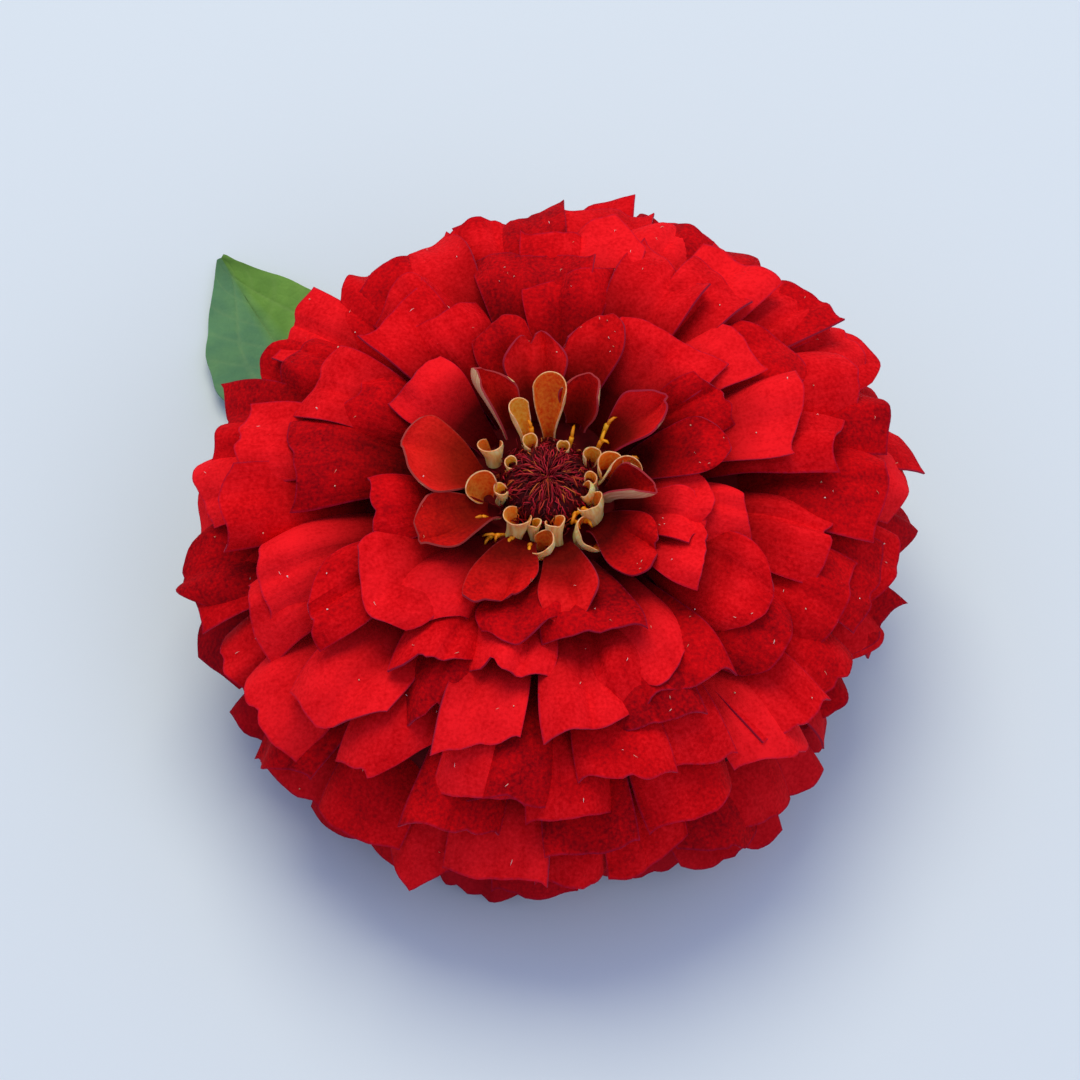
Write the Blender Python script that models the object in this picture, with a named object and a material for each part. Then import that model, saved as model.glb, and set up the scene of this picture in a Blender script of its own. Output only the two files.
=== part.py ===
"""A fully double zinnia, cut with a short stem and one leaf, lying face up on a surface.

Metres, +Z up. The surface is z = 0 and the head faces up and a little toward -Y.
The head has a frame of its own, with its axis along Z and z = 0 at its widest level,
and head_to_world tips that frame over and lifts it.
"""

import math
import random

import bmesh
import bpy
import numpy as np
from mathutils import Vector

# Head: a flattened dome of petals, widest at its own z = 0
HEAD_RADIUS = 0.0475
CROWN_HEIGHT = 0.027
SKIRT_DEPTH = 0.028
DOME_POWER = 2.35  # 2 is an ellipsoid, more is squarer at the shoulder
HEAD_LIFT = 0.0220
HEAD_TILT = math.radians(7)
SPREAD = (  # how far the petals reach to each side, by azimuth in degrees: no head is quite round
    (0, 1.00), (20, 1.06), (50, 1.03), (90, 1.02), (120, 0.95), (150, 0.93), (175, 1.01), (205, 0.96),
    (230, 1.02), (270, 1.045), (300, 1.00), (335, 0.93), (360, 1.00),
)

# Ray florets: broad petals that overlap like shingles. Each row of the table is one petal: its
# azimuth, the polar angle of its tip and the slant of its end in degrees, and its width in mm.
# The letter is the end's form: r round, s straight, p pointed, n notched
RAYS = (  # azimuth, polar angle, width, slant, end
    (62, 10, 4.8, -15, "r"), (342, 13, 5.0, -26, "r"), (125, 15, 5.5, 29, "r"), (28, 15, 5.6, 2, "r"),
    (96, 15, 7.2, 13, "n"), (178, 18, 9.0, 3, "r"), (314, 19, 7.6, -19, "n"), (213, 19, 7.3, 6, "r"),
    (252, 20, 8.4, -29, "n"), (71, 21, 7.1, -29, "r"), (109, 21, 7.8, -4, "s"), (279, 23, 7.5, -14, "r"),
    (5, 23, 7.6, -12, "r"), (146, 23, 10.0, 8, "s"), (346, 24, 7.6, -28, "r"), (335, 25, 6.9, -29, "s"),
    (47, 25, 12.3, -15, "s"), (22, 25, 7.0, -17, "s"), (263, 26, 10.6, -15, "r"),
    (198, 27, 7.4, 22, "s"), (233, 28, 8.0, -15, "p"), (323, 29, 7.6, -26, "r"), (123, 29, 7.6, 20, "s"),
    (283, 30, 12.7, 12, "s"), (84, 30, 9.8, -29, "s"), (347, 30, 8.2, -28, "r"), (260, 33, 11.4, 3, "n"),
    (158, 33, 8.0, 19, "s"), (221, 33, 13.9, 2, "r"), (35, 33, 11.7, -4, "s"), (243, 34, 11.0, -29, "n"),
    (89, 35, 7.9, 6, "s"), (135, 36, 11.4, 5, "s"), (97, 36, 8.0, 10, "s"), (12, 38, 11.8, 9, "s"),
    (298, 38, 8.2, -6, "r"), (59, 38, 11.8, 10, "s"), (174, 39, 11.0, -6, "s"), (75, 39, 8.2, -1, "p"),
    (287, 40, 8.5, 19, "r"), (325, 41, 13.2, 6, "r"), (30, 41, 11.4, -21, "s"), (214, 42, 8.5, 29, "n"),
    (125, 42, 11.1, -11, "s"), (87, 43, 8.3, 20, "s"), (156, 43, 8.3, 29, "s"), (51, 43, 11.2, 15, "s"),
    (246, 44, 8.3, -29, "n"), (301, 44, 9.0, 8, "s"), (294, 45, 9.5, 15, "r"), (277, 45, 10.1, -13, "s"),
    (9, 47, 8.8, 12, "s"), (347, 48, 12.4, -16, "n"), (66, 48, 9.5, -7, "p"), (104, 49, 8.5, -6, "s"),
    (257, 50, 8.6, -29, "s"), (322, 50, 13.9, 2, "r"), (117, 51, 8.6, 3, "s"), (136, 51, 8.6, 14, "s"),
    (95, 51, 8.7, -5, "s"), (230, 51, 13.3, -15, "p"), (174, 52, 9.8, -8, "s"), (50, 52, 10.0, -18, "s"),
    (200, 52, 12.5, 12, "s"), (125, 52, 8.7, 18, "s"), (22, 53, 9.4, 5, "s"), (79, 53, 8.7, -2, "s"),
    (37, 53, 9.8, -24, "s"), (240, 55, 11.9, -15, "p"), (284, 56, 12.3, 10, "s"), (151, 57, 8.9, 2, "s"),
    (185, 57, 8.9, 25, "s"), (66, 58, 11.6, 6, "s"), (295, 58, 9.4, 15, "s"), (13, 59, 9.0, -29, "s"),
    (266, 59, 12.4, -6, "s"), (51, 59, 11.6, -3, "p"), (38, 60, 11.7, 2, "s"), (260, 60, 9.6, -11, "s"),
    (1, 60, 14.1, -18, "s"), (206, 60, 10.8, 9, "s"), (144, 60, 11.7, 6, "s"), (172, 61, 9.1, 27, "s"),
    (336, 62, 12.7, -15, "s"), (28, 64, 11.8, 3, "s"), (275, 64, 14.1, 8, "s"), (165, 65, 11.8, -6, "s"),
    (306, 66, 9.2, 11, "s"), (3, 67, 10.3, -26, "s"), (180, 67, 9.5, -7, "s"), (342, 68, 10.3, -24, "s"),
    (316, 69, 9.8, 15, "s"), (294, 70, 14.4, -3, "s"), (255, 70, 13.5, -13, "s"), (96, 70, 14.6, 7, "s"),
    (220, 72, 14.8, -5, "s"), (148, 73, 14.6, 9, "r"), (326, 73, 9.4, 13, "s"), (63, 74, 14.7, 4, "s"),
    (349, 75, 9.4, -6, "s"), (277, 75, 11.9, -4, "s"), (116, 77, 14.8, -6, "s"), (194, 77, 12.8, 3, "s"),
    (31, 78, 14.9, -9, "r"), (168, 79, 14.9, -1, "s"), (207, 80, 12.3, -1, "s"), (251, 80, 9.6, -5, "p"),
    (83, 80, 15.0, -9, "s"), (225, 81, 9.6, -6, "s"), (241, 83, 11.7, -6, "s"), (136, 83, 15.0, -2, "s"),
    (296, 83, 9.6, 13, "s"), (262, 84, 14.0, -5, "s"), (340, 84, 12.4, 4, "s"),
    (286, 84, 10.3, -22, "s"), (51, 84, 15.1, -6, "s"), (188, 85, 15.1, 6, "r"), (304, 85, 12.5, 6, "s"),
    (103, 86, 15.2, -2, "r"), (274, 87, 10.3, 25, "s"), (18, 88, 15.2, 3, "s"), (156, 88, 15.3, -9, "s"),
    (71, 90, 15.3, 5, "s"), (208, 90, 15.3, -1, "s"), (346, 91, 15.3, -8, "r"), (123, 91, 15.3, -6, "r"),
    (38, 92, 15.3, 6, "s"), (176, 93, 15.3, 1, "s"), (91, 94, 15.3, 0, "s"), (313, 94, 12.6, 6, "s"),
    (228, 95, 15.3, -8, "s"), (6, 96, 15.3, 1, "p"), (143, 96, 15.3, 2, "s"), (58, 98, 15.3, -5, "p"),
    (196, 99, 15.3, -2, "p"), (333, 99, 15.3, -5, "s"), (111, 100, 15.3, -6, "r"),
    (248, 101, 15.3, -3, "s"), (26, 102, 15.3, 3, "r"), (163, 103, 15.3, -8, "r"),
    (301, 103, 15.3, 2, "n"), (78, 104, 15.3, 8, "p"), (216, 105, 15.3, 2, "s"),
    (353, 106, 15.3, -7, "p"), (131, 107, 15.3, 8, "s"), (268, 108, 15.3, 6, "p"),
    (46, 109, 15.3, 7, "s"), (184, 109, 15.3, 7, "s"), (321, 110, 15.3, 1, "n"), (99, 111, 15.3, 4, "p"),
    (236, 112, 15.3, -8, "s"), (14, 113, 15.3, -5, "p"), (151, 114, 15.3, 7, "n"),
    (289, 115, 15.3, -7, "s"), (66, 116, 15.3, -8, "n"), (204, 116, 15.3, 2, "r"),
    (341, 117, 15.3, -2, "s"), (119, 118, 15.3, 3, "s"), (256, 119, 15.3, 8, "n"),
    (34, 120, 15.3, 6, "s"), (171, 121, 15.3, 5, "s"), (309, 122, 15.3, 0, "s"), (86, 123, 15.3, 8, "p"),
    (224, 124, 15.3, -6, "p"), (1, 125, 15.3, 8, "s"), (139, 125, 15.3, -6, "p"),
    (276, 126, 15.3, 0, "s"),
)
# How far an end's middle reaches, and how far its corners fall back, in shares of the length
RAY_END = {"s": (1.0, 0.03), "p": (1.06, 0.14), "r": (1.02, 0.13), "n": (1.02, 0.08)}
RAY_THICKNESS = 0.0007
RAY_ROOT_INNER = (0.0084, 0.0196)  # radius and height where the youngest rays grow
RAY_ROOT_OUTER = (0.0105, -0.0055)
RAY_CLAW_HALF_WIDTH = 0.0015
RAY_BLADE_LENGTH = 0.0170  # what stands out of the receptacle, with its sunk root
UNDER_BLADE_LENGTH = 0.0400  # the lowest petals show from their claws
UNDERSIDE = ((0.0310, -0.0040), (0.0200, -0.0045))  # the receptacle's lower face
RAY_SEED = 20
RECEPTACLE_INSET = 0.0062  # depth of the receptacle's surface below the petal tips
BACK_CLEARANCE = 0.0075  # height of the petals that hang over the stem and the leaf

# Centre: the disc and the ring of young rays that surrounds it
SEAT_HEIGHT = 0.0175
SEAT_RADIUS = 0.0076
DISC_RADIUS = 0.0055
DISC_HEIGHT = 0.0072
CHAFF_COUNT = 34
GOLDEN_ANGLE = math.radians(137.508)
COLLAR_INNER = 0.0059
COLLAR_OUTER = 0.0072
COLLAR_HEIGHT = 0.0036
YOUNG_RAY_COUNT = 14
YELLOW_FLORET_COUNT = 9

# Involucre, stem and leaf
CUP_TOP = -0.0078
CUP_BOTTOM = -0.0140
CUP_RADIUS = 0.0108
# Rows of bracts: their count, half width, and where each starts and ends up the cup
BRACT_ROWS = ((8, 0.0040, 0.40, 0.98), (7, 0.0036, 0.10, 0.74), (6, 0.0029, 0.02, 0.50))
STEM_RADIUS = 0.0024
STEM_SIDES = 12
STEM_LIES_FROM = (-0.0042, 0.0105)
STEM_PULLS = ((-0.0110, 0.0225), (-0.0190, 0.0258))
STEM_END = (-0.0290, 0.0276)
LEAF_BASE = (-0.0280, 0.0309, 0.0042)
LEAF_TIP = (-0.0463, 0.0602, 0.0052)
LEAF_HALF_WIDTH = 0.0116
LEAF_THICKNESS = 0.0008
CLEARANCE = 0.0003  # between pieces that touch

# All of it is placed so that the origin is under the middle of its outer box
HEAD_PLACE = (0.0001, -0.0061, 0.0)


def clear_scene():
    for item in list(bpy.data.objects):
        bpy.data.objects.remove(item)


def material(name, color, roughness):
    made = bpy.data.materials.new(name)
    made.use_nodes = True
    shader = made.node_tree.nodes["Principled BSDF"]
    shader.inputs["Base Color"].default_value = (*color, 1)
    shader.inputs["Roughness"].default_value = roughness
    return made


def keyed(x, *pairs):
    """Straight lines between (x, value) pairs, level past both ends."""
    return float(np.interp(x, [p[0] for p in pairs], [p[1] for p in pairs]))


def smooth(x):
    x = np.clip(x, 0, 1)
    return x * x * (3 - 2 * x)


# ---------------------------------------------------------------- the head's frame


def dome(angle, inset=0.0):
    """Radius and height on the head's dome at a polar angle, or at a depth below it."""

    def surface(a):
        height = CROWN_HEIGHT if math.cos(a) > 0 else SKIRT_DEPTH
        share = 2 / DOME_POWER
        radius = HEAD_RADIUS * abs(math.sin(a)) ** share
        return Vector((radius, math.copysign(height * abs(math.cos(a)) ** share, math.cos(a))))

    along = surface(angle + 0.01) - surface(angle - 0.01)
    outward = Vector((-along.y, along.x)).normalized()
    return surface(angle) - outward * inset


def head_to_world(points):
    """Tips the head toward -Y, lifts it, and keeps it off the surface, the stem and the leaf."""
    x, y, z = points[..., 0], points[..., 1], points[..., 2]
    cos_tilt, sin_tilt = math.cos(HEAD_TILT), math.sin(HEAD_TILT)
    world_y = y * cos_tilt - z * sin_tilt
    world_z = y * sin_tilt + z * cos_tilt + HEAD_LIFT
    lowest = 0.0004 + BACK_CLEARANCE * smooth((world_y + 0.004) / 0.014)
    return np.stack([x, world_y, np.maximum(world_z, lowest)], -1)


# ---------------------------------------------------------------- making solids


def new_object(name, verts, faces, finish, collection=None):
    mesh = bpy.data.meshes.new(name)
    mesh.from_pydata([tuple(v) for v in verts], [], faces)
    mesh.materials.append(finish)
    made = bpy.data.objects.new(name, mesh)
    (collection or bpy.context.scene.collection).objects.link(made)
    return made


def sheet(name, grid, thickness, finish, collection):
    """A thin blade: its upper face is a grid of points, and Solidify gives it thickness."""
    rows, columns = grid.shape[:2]
    faces = []
    for i in range(rows - 1):
        for j in range(columns - 1):
            a = i * columns + j
            b, c, d = a + 1, a + columns + 1, a + columns
            if j < (columns - 1) / 2:
                faces += [(a, c, b), (a, d, c)]
            else:
                faces += [(a, d, b), (b, d, c)]
    blade = new_object(name, grid.reshape(-1, 3), faces, finish, collection)
    solid = blade.modifiers.new("thickness", "SOLIDIFY")
    solid.thickness = thickness
    solid.offset = -1
    return blade


def turned(name, profile, sides, finish):
    """A solid of revolution about Z from (radius, height) points that run from top to bottom."""
    mesh = bmesh.new()
    verts = [mesh.verts.new((radius, 0, height)) for radius, height in profile]
    edges = [mesh.edges.new(pair) for pair in zip(verts, verts[1:])]
    if profile[-1][0] > 0:
        edges.append(mesh.edges.new((verts[-1], verts[0])))
    bmesh.ops.spin(
        mesh, geom=verts + edges, cent=(0, 0, 0), axis=(0, 0, 1), angle=math.tau, steps=sides
    )
    bmesh.ops.remove_doubles(mesh, verts=mesh.verts, dist=1e-6)
    bmesh.ops.recalc_face_normals(mesh, faces=mesh.faces)
    bmesh.ops.triangulate(mesh, faces=mesh.faces)
    made = new_object(name, [], [], finish)
    mesh.to_mesh(made.data)
    mesh.free()
    return made


def keep_outer_shell(target):
    """Fills the hollows that fusing seals and drops loose scraps: the largest shell stays."""
    mesh = bmesh.new()
    mesh.from_mesh(target.data)
    bmesh.ops.triangulate(mesh, faces=mesh.faces)
    bmesh.ops.remove_doubles(mesh, verts=mesh.verts, dist=2e-6)
    bmesh.ops.dissolve_degenerate(mesh, edges=mesh.edges, dist=1e-6)
    shells = []
    unseen = set(mesh.faces)
    while unseen:
        stack = [unseen.pop()]
        shell = []
        while stack:
            face = stack.pop()
            shell.append(face)
            for edge in face.edges:
                for other in edge.link_faces:
                    if other in unseen:
                        unseen.remove(other)
                        stack.append(other)
        shells.append(shell)
    shells.sort(key=len)
    for shell in shells[:-1]:
        bmesh.ops.delete(mesh, geom=shell, context="FACES")
    loose = [v for v in mesh.verts if not v.link_faces]
    bmesh.ops.delete(mesh, geom=loose, context="VERTS")
    for vertex in mesh.verts:
        vertex.co.z = max(vertex.co.z, 0)
    mesh.to_mesh(target.data)
    mesh.free()


def fuse(target, parts, solver="EXACT"):
    """Joins a collection of blades to the solid that they grow from."""
    union = target.modifiers.new("union", "BOOLEAN")
    union.operation = "UNION"
    union.operand_type = "COLLECTION"
    union.collection = parts
    union.solver = solver
    bpy.ops.object.select_all(action="DESELECT")
    bpy.context.view_layer.objects.active = target
    bpy.ops.object.modifier_apply(modifier="union")
    for item in list(parts.objects):
        bpy.data.objects.remove(item)
    bpy.data.collections.remove(parts)
    keep_outer_shell(target)
    target.data.shade_smooth()
    target.data.set_sharp_from_angle(angle=math.radians(40))


def new_collection(name):
    made = bpy.data.collections.new(name)
    bpy.context.scene.collection.children.link(made)
    return made


# ---------------------------------------------------------------- ray florets


def ray_profile(angle, age, turn, arrive_change):
    """The petal's middle line, from its root to its tip, in the plane of radius and height."""
    root = np.array(
        [
            keyed(age, (0, RAY_ROOT_INNER[0]), (1, RAY_ROOT_OUTER[0])),
            keyed(age, (0, RAY_ROOT_INNER[1]), (1, RAY_ROOT_OUTER[1])),
        ]
    )
    reach = keyed(math.degrees(turn) % 360, *SPREAD)
    tip = np.array(dome(angle)) * (reach, 1 + 0.3 * (reach - 1))
    degrees = math.degrees(angle)
    leave = math.radians(keyed(age, (0, 66), (0.1, 58), (0.5, 32), (0.8, 5), (1, -25)))
    arrive = keyed(degrees, (13, 60), (20, 30), (30, 12), (45, -8), (65, -24), (90, -42), (128, -74))
    arrive = math.radians(arrive + arrive_change)
    span = np.linalg.norm(tip - root)
    pulls = (
        root + 0.42 * span * np.array([math.cos(leave), math.sin(leave)]),
        tip - 0.36 * span * np.array([math.cos(arrive), math.sin(arrive)]),
    )
    s = np.linspace(0, 1, 60)[:, None]
    curve = (1 - s) ** 3 * root + 3 * (1 - s) ** 2 * s * pulls[0]
    return curve + 3 * (1 - s) * s**2 * pulls[1] + s**3 * tip


def ray_sheet(number, ray):
    """The upper face of one petal, rows from its sunk root to its tip, columns across it."""
    draw = random.Random(RAY_SEED * 1000 + number)
    azimuth, degrees, width_mm, slant, end = ray
    ripe = min(max((degrees - 17) / 12, 0), 1)  # 0 for a cupped young petal, 1 for a flat one
    turn = math.radians(azimuth)
    curve = ray_profile(math.radians(degrees), number / (len(RAYS) - 1), turn, draw.uniform(-8, 8))
    half_width = width_mm / 2000
    lean = math.radians(draw.uniform(-7, 7))

    steps = np.linalg.norm(np.diff(curve, axis=0), axis=1)
    arc = np.concatenate([[0], np.cumsum(steps)])
    blade_length = keyed(degrees, (102, RAY_BLADE_LENGTH), (110, UNDER_BLADE_LENGTH))
    start = max(1 - blade_length / arc[-1], 0.10)
    bends = (0, 0.7, 1) if 28 < degrees < 104 else (0, 0.45, 0.8, 1)
    rows = start + (1 - start) * np.array(bends)
    across = np.array([-1.0, 0.0, 1.0])[None, :]
    middle, drop = RAY_END[end]
    middle, drop = 1 + (middle - 1) * ripe, 0.30 + (drop - 0.30) * ripe
    skew = math.tan(math.radians(slant)) * half_width / arc[-1]
    outline = middle - drop * across**2 + skew * across
    along = start + (rows[:, None] - start) * (outline - start) / (1 - start)

    slope = np.unwrap(np.arctan2(*np.gradient(curve, axis=0).T[::-1]))
    radius = np.interp(along * arc[-1], arc, curve[:, 0])
    height = np.interp(along * arc[-1], arc, curve[:, 1])
    slope = np.interp(along * arc[-1], arc, slope)
    width = RAY_CLAW_HALF_WIDTH + (half_width - RAY_CLAW_HALF_WIDTH) * smooth(along / 0.8)
    bend = (0.5 * ripe - 0.75) * (1 - smooth(along)) + (1.0 * ripe - 0.8) * smooth(along)
    side = width * across * (1 - 0.08 * bend**2)
    rise = -0.5 * width * bend * across**2
    rise -= 0.0011 * ripe * smooth((along - 0.8) / 0.2)
    side, rise = (
        side * math.cos(lean) - rise * math.sin(lean),
        side * math.sin(lean) + rise * math.cos(lean),
    )
    radius = radius - np.sin(slope) * rise
    height = height + np.cos(slope) * rise
    x = radius * math.cos(turn) - side * math.sin(turn)
    y = radius * math.sin(turn) + side * math.cos(turn)
    return np.stack([x, y, height], -1)


def make_ray_florets(finish):
    """All the petals, with roots sunk in the receptacle that carries them."""
    profile = [(0, SEAT_HEIGHT), (SEAT_RADIUS, SEAT_HEIGHT), (SEAT_RADIUS + 0.0004, SEAT_HEIGHT + 0.0015)]
    profile += [tuple(dome(math.radians(a), RECEPTACLE_INSET)) for a in range(32, 113, 10)]
    profile += [*UNDERSIDE, (0.0117, CUP_TOP + CLEARANCE), (0, CUP_TOP + CLEARANCE)]
    receptacle = turned("ray_florets", profile, 20, finish)
    for vertex in receptacle.data.vertices:
        vertex.co = head_to_world(np.array(vertex.co))
    petals = new_collection("petals")
    for number, ray in enumerate(RAYS):
        grid = head_to_world(ray_sheet(number, ray))
        sheet(f"petal_{number:03d}", grid, RAY_THICKNESS, finish, petals)
    fuse(receptacle, petals)
    return receptacle


# ---------------------------------------------------------------- the centre


def upright_sheet(turn, profile, widths, cup, columns):
    """A narrow blade that stands near the axis, with its sides curled in toward the disc."""
    across = np.linspace(-1, 1, columns)[None, :]
    radius = np.array([p[0] for p in profile])[:, None] - np.array(cup)[:, None] * across**2
    side = np.array(widths)[:, None] * across
    height = np.array([p[1] for p in profile])[:, None] + 0 * across
    x = radius * math.cos(turn) - side * math.sin(turn)
    y = radius * math.sin(turn) + side * math.cos(turn)
    return np.stack([x, y, height], -1)


def make_young_rays(finish):
    """Hooded young rays and narrow yellow florets that rise from one collar round the disc."""
    low = SEAT_HEIGHT + CLEARANCE
    top = SEAT_HEIGHT + COLLAR_HEIGHT
    ring = [(COLLAR_INNER, low), (COLLAR_INNER, top), (COLLAR_OUTER, top), (COLLAR_OUTER, low)]
    collar = turned("young_rays", ring, 28, finish)
    for vertex in collar.data.vertices:
        vertex.co = head_to_world(np.array(vertex.co))
    blades = new_collection("young blades")
    draw = random.Random(5)
    for number in range(YOUNG_RAY_COUNT):
        turn = math.tau * (number + draw.uniform(-0.16, 0.16)) / YOUNG_RAY_COUNT
        size = draw.uniform(0.85, 1.15)
        rise = (0.0, 0.0024, 0.0046, 0.0057)
        out = (0.0, 0.0005, 0.0006, -0.0004)
        base = COLLAR_OUTER - 0.0003
        profile = [(base + o * size, top - 0.0012 + r * size) for o, r in zip(out, rise)]
        widths = [w * size for w in (0.0008, 0.0013, 0.0014, 0.0008)]
        grid = upright_sheet(turn, profile, widths, (0.0001, 0.0007, 0.0009, 0.0004), 3)
        sheet(f"young_{number:02d}", head_to_world(grid), 0.0006, finish, blades)
    for number in range(YELLOW_FLORET_COUNT):
        turn = math.tau * (number + 0.5 + draw.uniform(-0.3, 0.3)) / YELLOW_FLORET_COUNT
        radius = COLLAR_INNER + 0.0007
        spike = bmesh.new()
        bmesh.ops.create_cone(
            spike, cap_ends=True, segments=4, radius1=0.00055, radius2=0.00075, depth=0.0044
        )
        bmesh.ops.triangulate(spike, faces=spike.faces)
        floret = new_object(f"yellow_{number:02d}", [], [], finish, blades)
        spike.to_mesh(floret.data)
        spike.free()
        centre = np.array([radius * math.cos(turn), radius * math.sin(turn), top + 0.0009])
        for vertex in floret.data.vertices:
            vertex.co = head_to_world(np.array(vertex.co) + centre)
    fuse(collar, blades)
    return collar


def make_disc(finish):
    """A low maroon mound with a sunken eye, covered in scales that lean inward."""
    base = SEAT_HEIGHT + CLEARANCE
    profile = [(0, base + DISC_HEIGHT - 0.0022)]
    for share in (0.16, 0.32, 0.5, 0.68, 0.85, 1.0):
        height = DISC_HEIGHT * math.sqrt(max(1 - share**2 * 0.9, 0)) - 0.0012 * (share < 0.2)
        profile.append((DISC_RADIUS * share * 0.94, base + height))
    profile += [(DISC_RADIUS * 0.94, base), (0, base)]
    mound = turned("disc_chaff", profile, 16, finish)
    for vertex in mound.data.vertices:
        vertex.co = head_to_world(np.array(vertex.co))
    scales = new_collection("scales")
    for number in range(CHAFF_COUNT):
        share = math.sqrt((number + 3) / (CHAFF_COUNT + 3))
        turn = number * GOLDEN_ANGLE
        radius = DISC_RADIUS * 0.84 * share
        height = DISC_HEIGHT * math.sqrt(1 - share**2 * 0.74)
        cone = bmesh.new()
        bmesh.ops.create_cone(
            cone, cap_ends=True, segments=4, radius1=0.0006, radius2=0.0001, depth=0.0022 + 0.0012 * share
        )
        bmesh.ops.triangulate(cone, faces=cone.faces)
        lean = math.radians(12 + 30 * share)
        scale = new_object(f"scale_{number:02d}", [], [], finish, scales)
        cone.to_mesh(scale.data)
        cone.free()
        for vertex in scale.data.vertices:
            x, y, z = vertex.co
            z += 0.0009
            out = x * math.cos(lean) - z * math.sin(lean) + radius
            up = x * math.sin(lean) + z * math.cos(lean) + base + height
            spot = (out * math.cos(turn) - y * math.sin(turn), out * math.sin(turn) + y * math.cos(turn), up)
            vertex.co = head_to_world(np.array(spot))
    fuse(mound, scales)
    return mound


# ---------------------------------------------------------------- the green parts


def cup_point(share, lift=0.0):
    """Radius and height on the involucre's outside, from its foot (0) to its brim (1)."""
    angle = share * math.pi / 2
    foot = STEM_RADIUS + 0.0006
    radius = foot + (CUP_RADIUS - foot) * math.sin(angle)
    height = CUP_BOTTOM + (CUP_TOP - CUP_BOTTOM) * (1 - math.cos(angle))
    return radius + lift * math.sin(angle), height - lift * math.cos(angle)


def make_involucre(finish):
    """The green cup under the head and its overlapping round-tipped bracts."""
    profile = [(0, CUP_TOP)]
    profile += [cup_point(share) for share in (1.0, 0.85, 0.65, 0.4, 0.0)]
    profile += [(0, CUP_BOTTOM)]
    cup = turned("involucre", profile, 24, finish)
    for vertex in cup.data.vertices:
        vertex.co = head_to_world(np.array(vertex.co))
    bracts = new_collection("bracts")
    draw = random.Random(11)
    for row, (count, half_width, first, last) in enumerate(BRACT_ROWS):
        for number in range(count):
            turn = math.tau * (number + draw.uniform(-0.1, 0.1)) / count + 0.4 * row
            raised = 0.0003 * row + 0.0004 * (number % 2) + draw.uniform(0, 0.0002)
            profile = []
            for step, lift in zip((0.0, 0.45, 0.8, 1.0), (-0.0006, 0.0006, 0.0009, 0.0011)):
                profile.append(cup_point(first + (last - first) * step, lift + raised * step))
            widths = [half_width * w for w in (0.8, 1.0, 0.85, 0.45)]
            bulge = [w * w / (2 * max(p[0], 0.004)) for p, w in zip(profile, widths)]
            grid = upright_sheet(turn, profile, widths, bulge, 3)[:, ::-1]
            sheet(f"bract_{row}_{number}", head_to_world(grid), 0.0007, finish, bracts)
    fuse(cup, bracts)
    return cup


def bezier(points, count):
    p = [np.array(q, float) for q in points]
    s = np.linspace(0, 1, count)[:, None]
    return (1 - s) ** 3 * p[0] + 3 * (1 - s) ** 2 * s * p[1] + 3 * (1 - s) * s**2 * p[2] + s**3 * p[3]


def stem_path():
    """From just under the cup, down and back in one bend, then along the surface."""
    top = head_to_world(np.array([0, 0, CUP_BOTTOM - CLEARANCE]))
    lies = np.array([*STEM_LIES_FROM, STEM_RADIUS])
    end = np.array([*STEM_END, STEM_RADIUS])
    first, second = (np.array([*pull, STEM_RADIUS]) for pull in STEM_PULLS)
    heading = (first - lies) / np.linalg.norm(first - lies)
    down = np.array([0, math.sin(HEAD_TILT), -math.cos(HEAD_TILT)])
    bend = bezier((top, top + 0.0032 * down, lies - 0.0050 * heading, lies), 8)
    return np.concatenate([bend[:-1], bezier((lies, first, second, end), 10)])


def make_stem(finish):
    """A round stem with a flat facet down, so that it rests on z = 0, and a slanted cut end."""
    path = stem_path()
    tangents = np.gradient(path, axis=0)
    tangents /= np.linalg.norm(tangents, axis=1)[:, None]
    tangents[0] = (0, math.sin(HEAD_TILT), -math.cos(HEAD_TILT))
    verts = []
    side = np.array([tangents[-1][1], -tangents[-1][0], 0])
    sides = []
    for tangent in tangents[::-1]:
        side = side - tangent * side.dot(tangent)
        side /= np.linalg.norm(side)
        sides.append(side)
    sides.reverse()
    corner = STEM_RADIUS / math.cos(math.pi / STEM_SIDES)
    for number, (point, tangent, side) in enumerate(zip(path, tangents, sides)):
        up = np.cross(side, tangent)
        for k in range(STEM_SIDES):
            angle = (k + 0.5) * math.tau / STEM_SIDES
            offset = corner * (math.cos(angle) * side + math.sin(angle) * up)
            if number == len(path) - 1:
                offset = offset - tangent * 0.45 * corner * math.sin(angle)
            verts.append(point + offset)
    faces = [tuple(reversed(range(STEM_SIDES)))]
    for i in range(len(path) - 1):
        for k in range(STEM_SIDES):
            a, b = i * STEM_SIDES + k, i * STEM_SIDES + (k + 1) % STEM_SIDES
            faces.append((a, b, b + STEM_SIDES, a + STEM_SIDES))
    last = (len(path) - 1) * STEM_SIDES
    faces.append(tuple(range(last, last + STEM_SIDES)))
    stem = new_object("stem", verts, faces, finish)
    mesh = bmesh.new()
    mesh.from_mesh(stem.data)
    bmesh.ops.recalc_face_normals(mesh, faces=mesh.faces)
    mesh.to_mesh(stem.data)
    mesh.free()
    stem.data.shade_smooth()
    stem.data.set_sharp_from_angle(angle=math.radians(40))
    return stem


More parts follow.
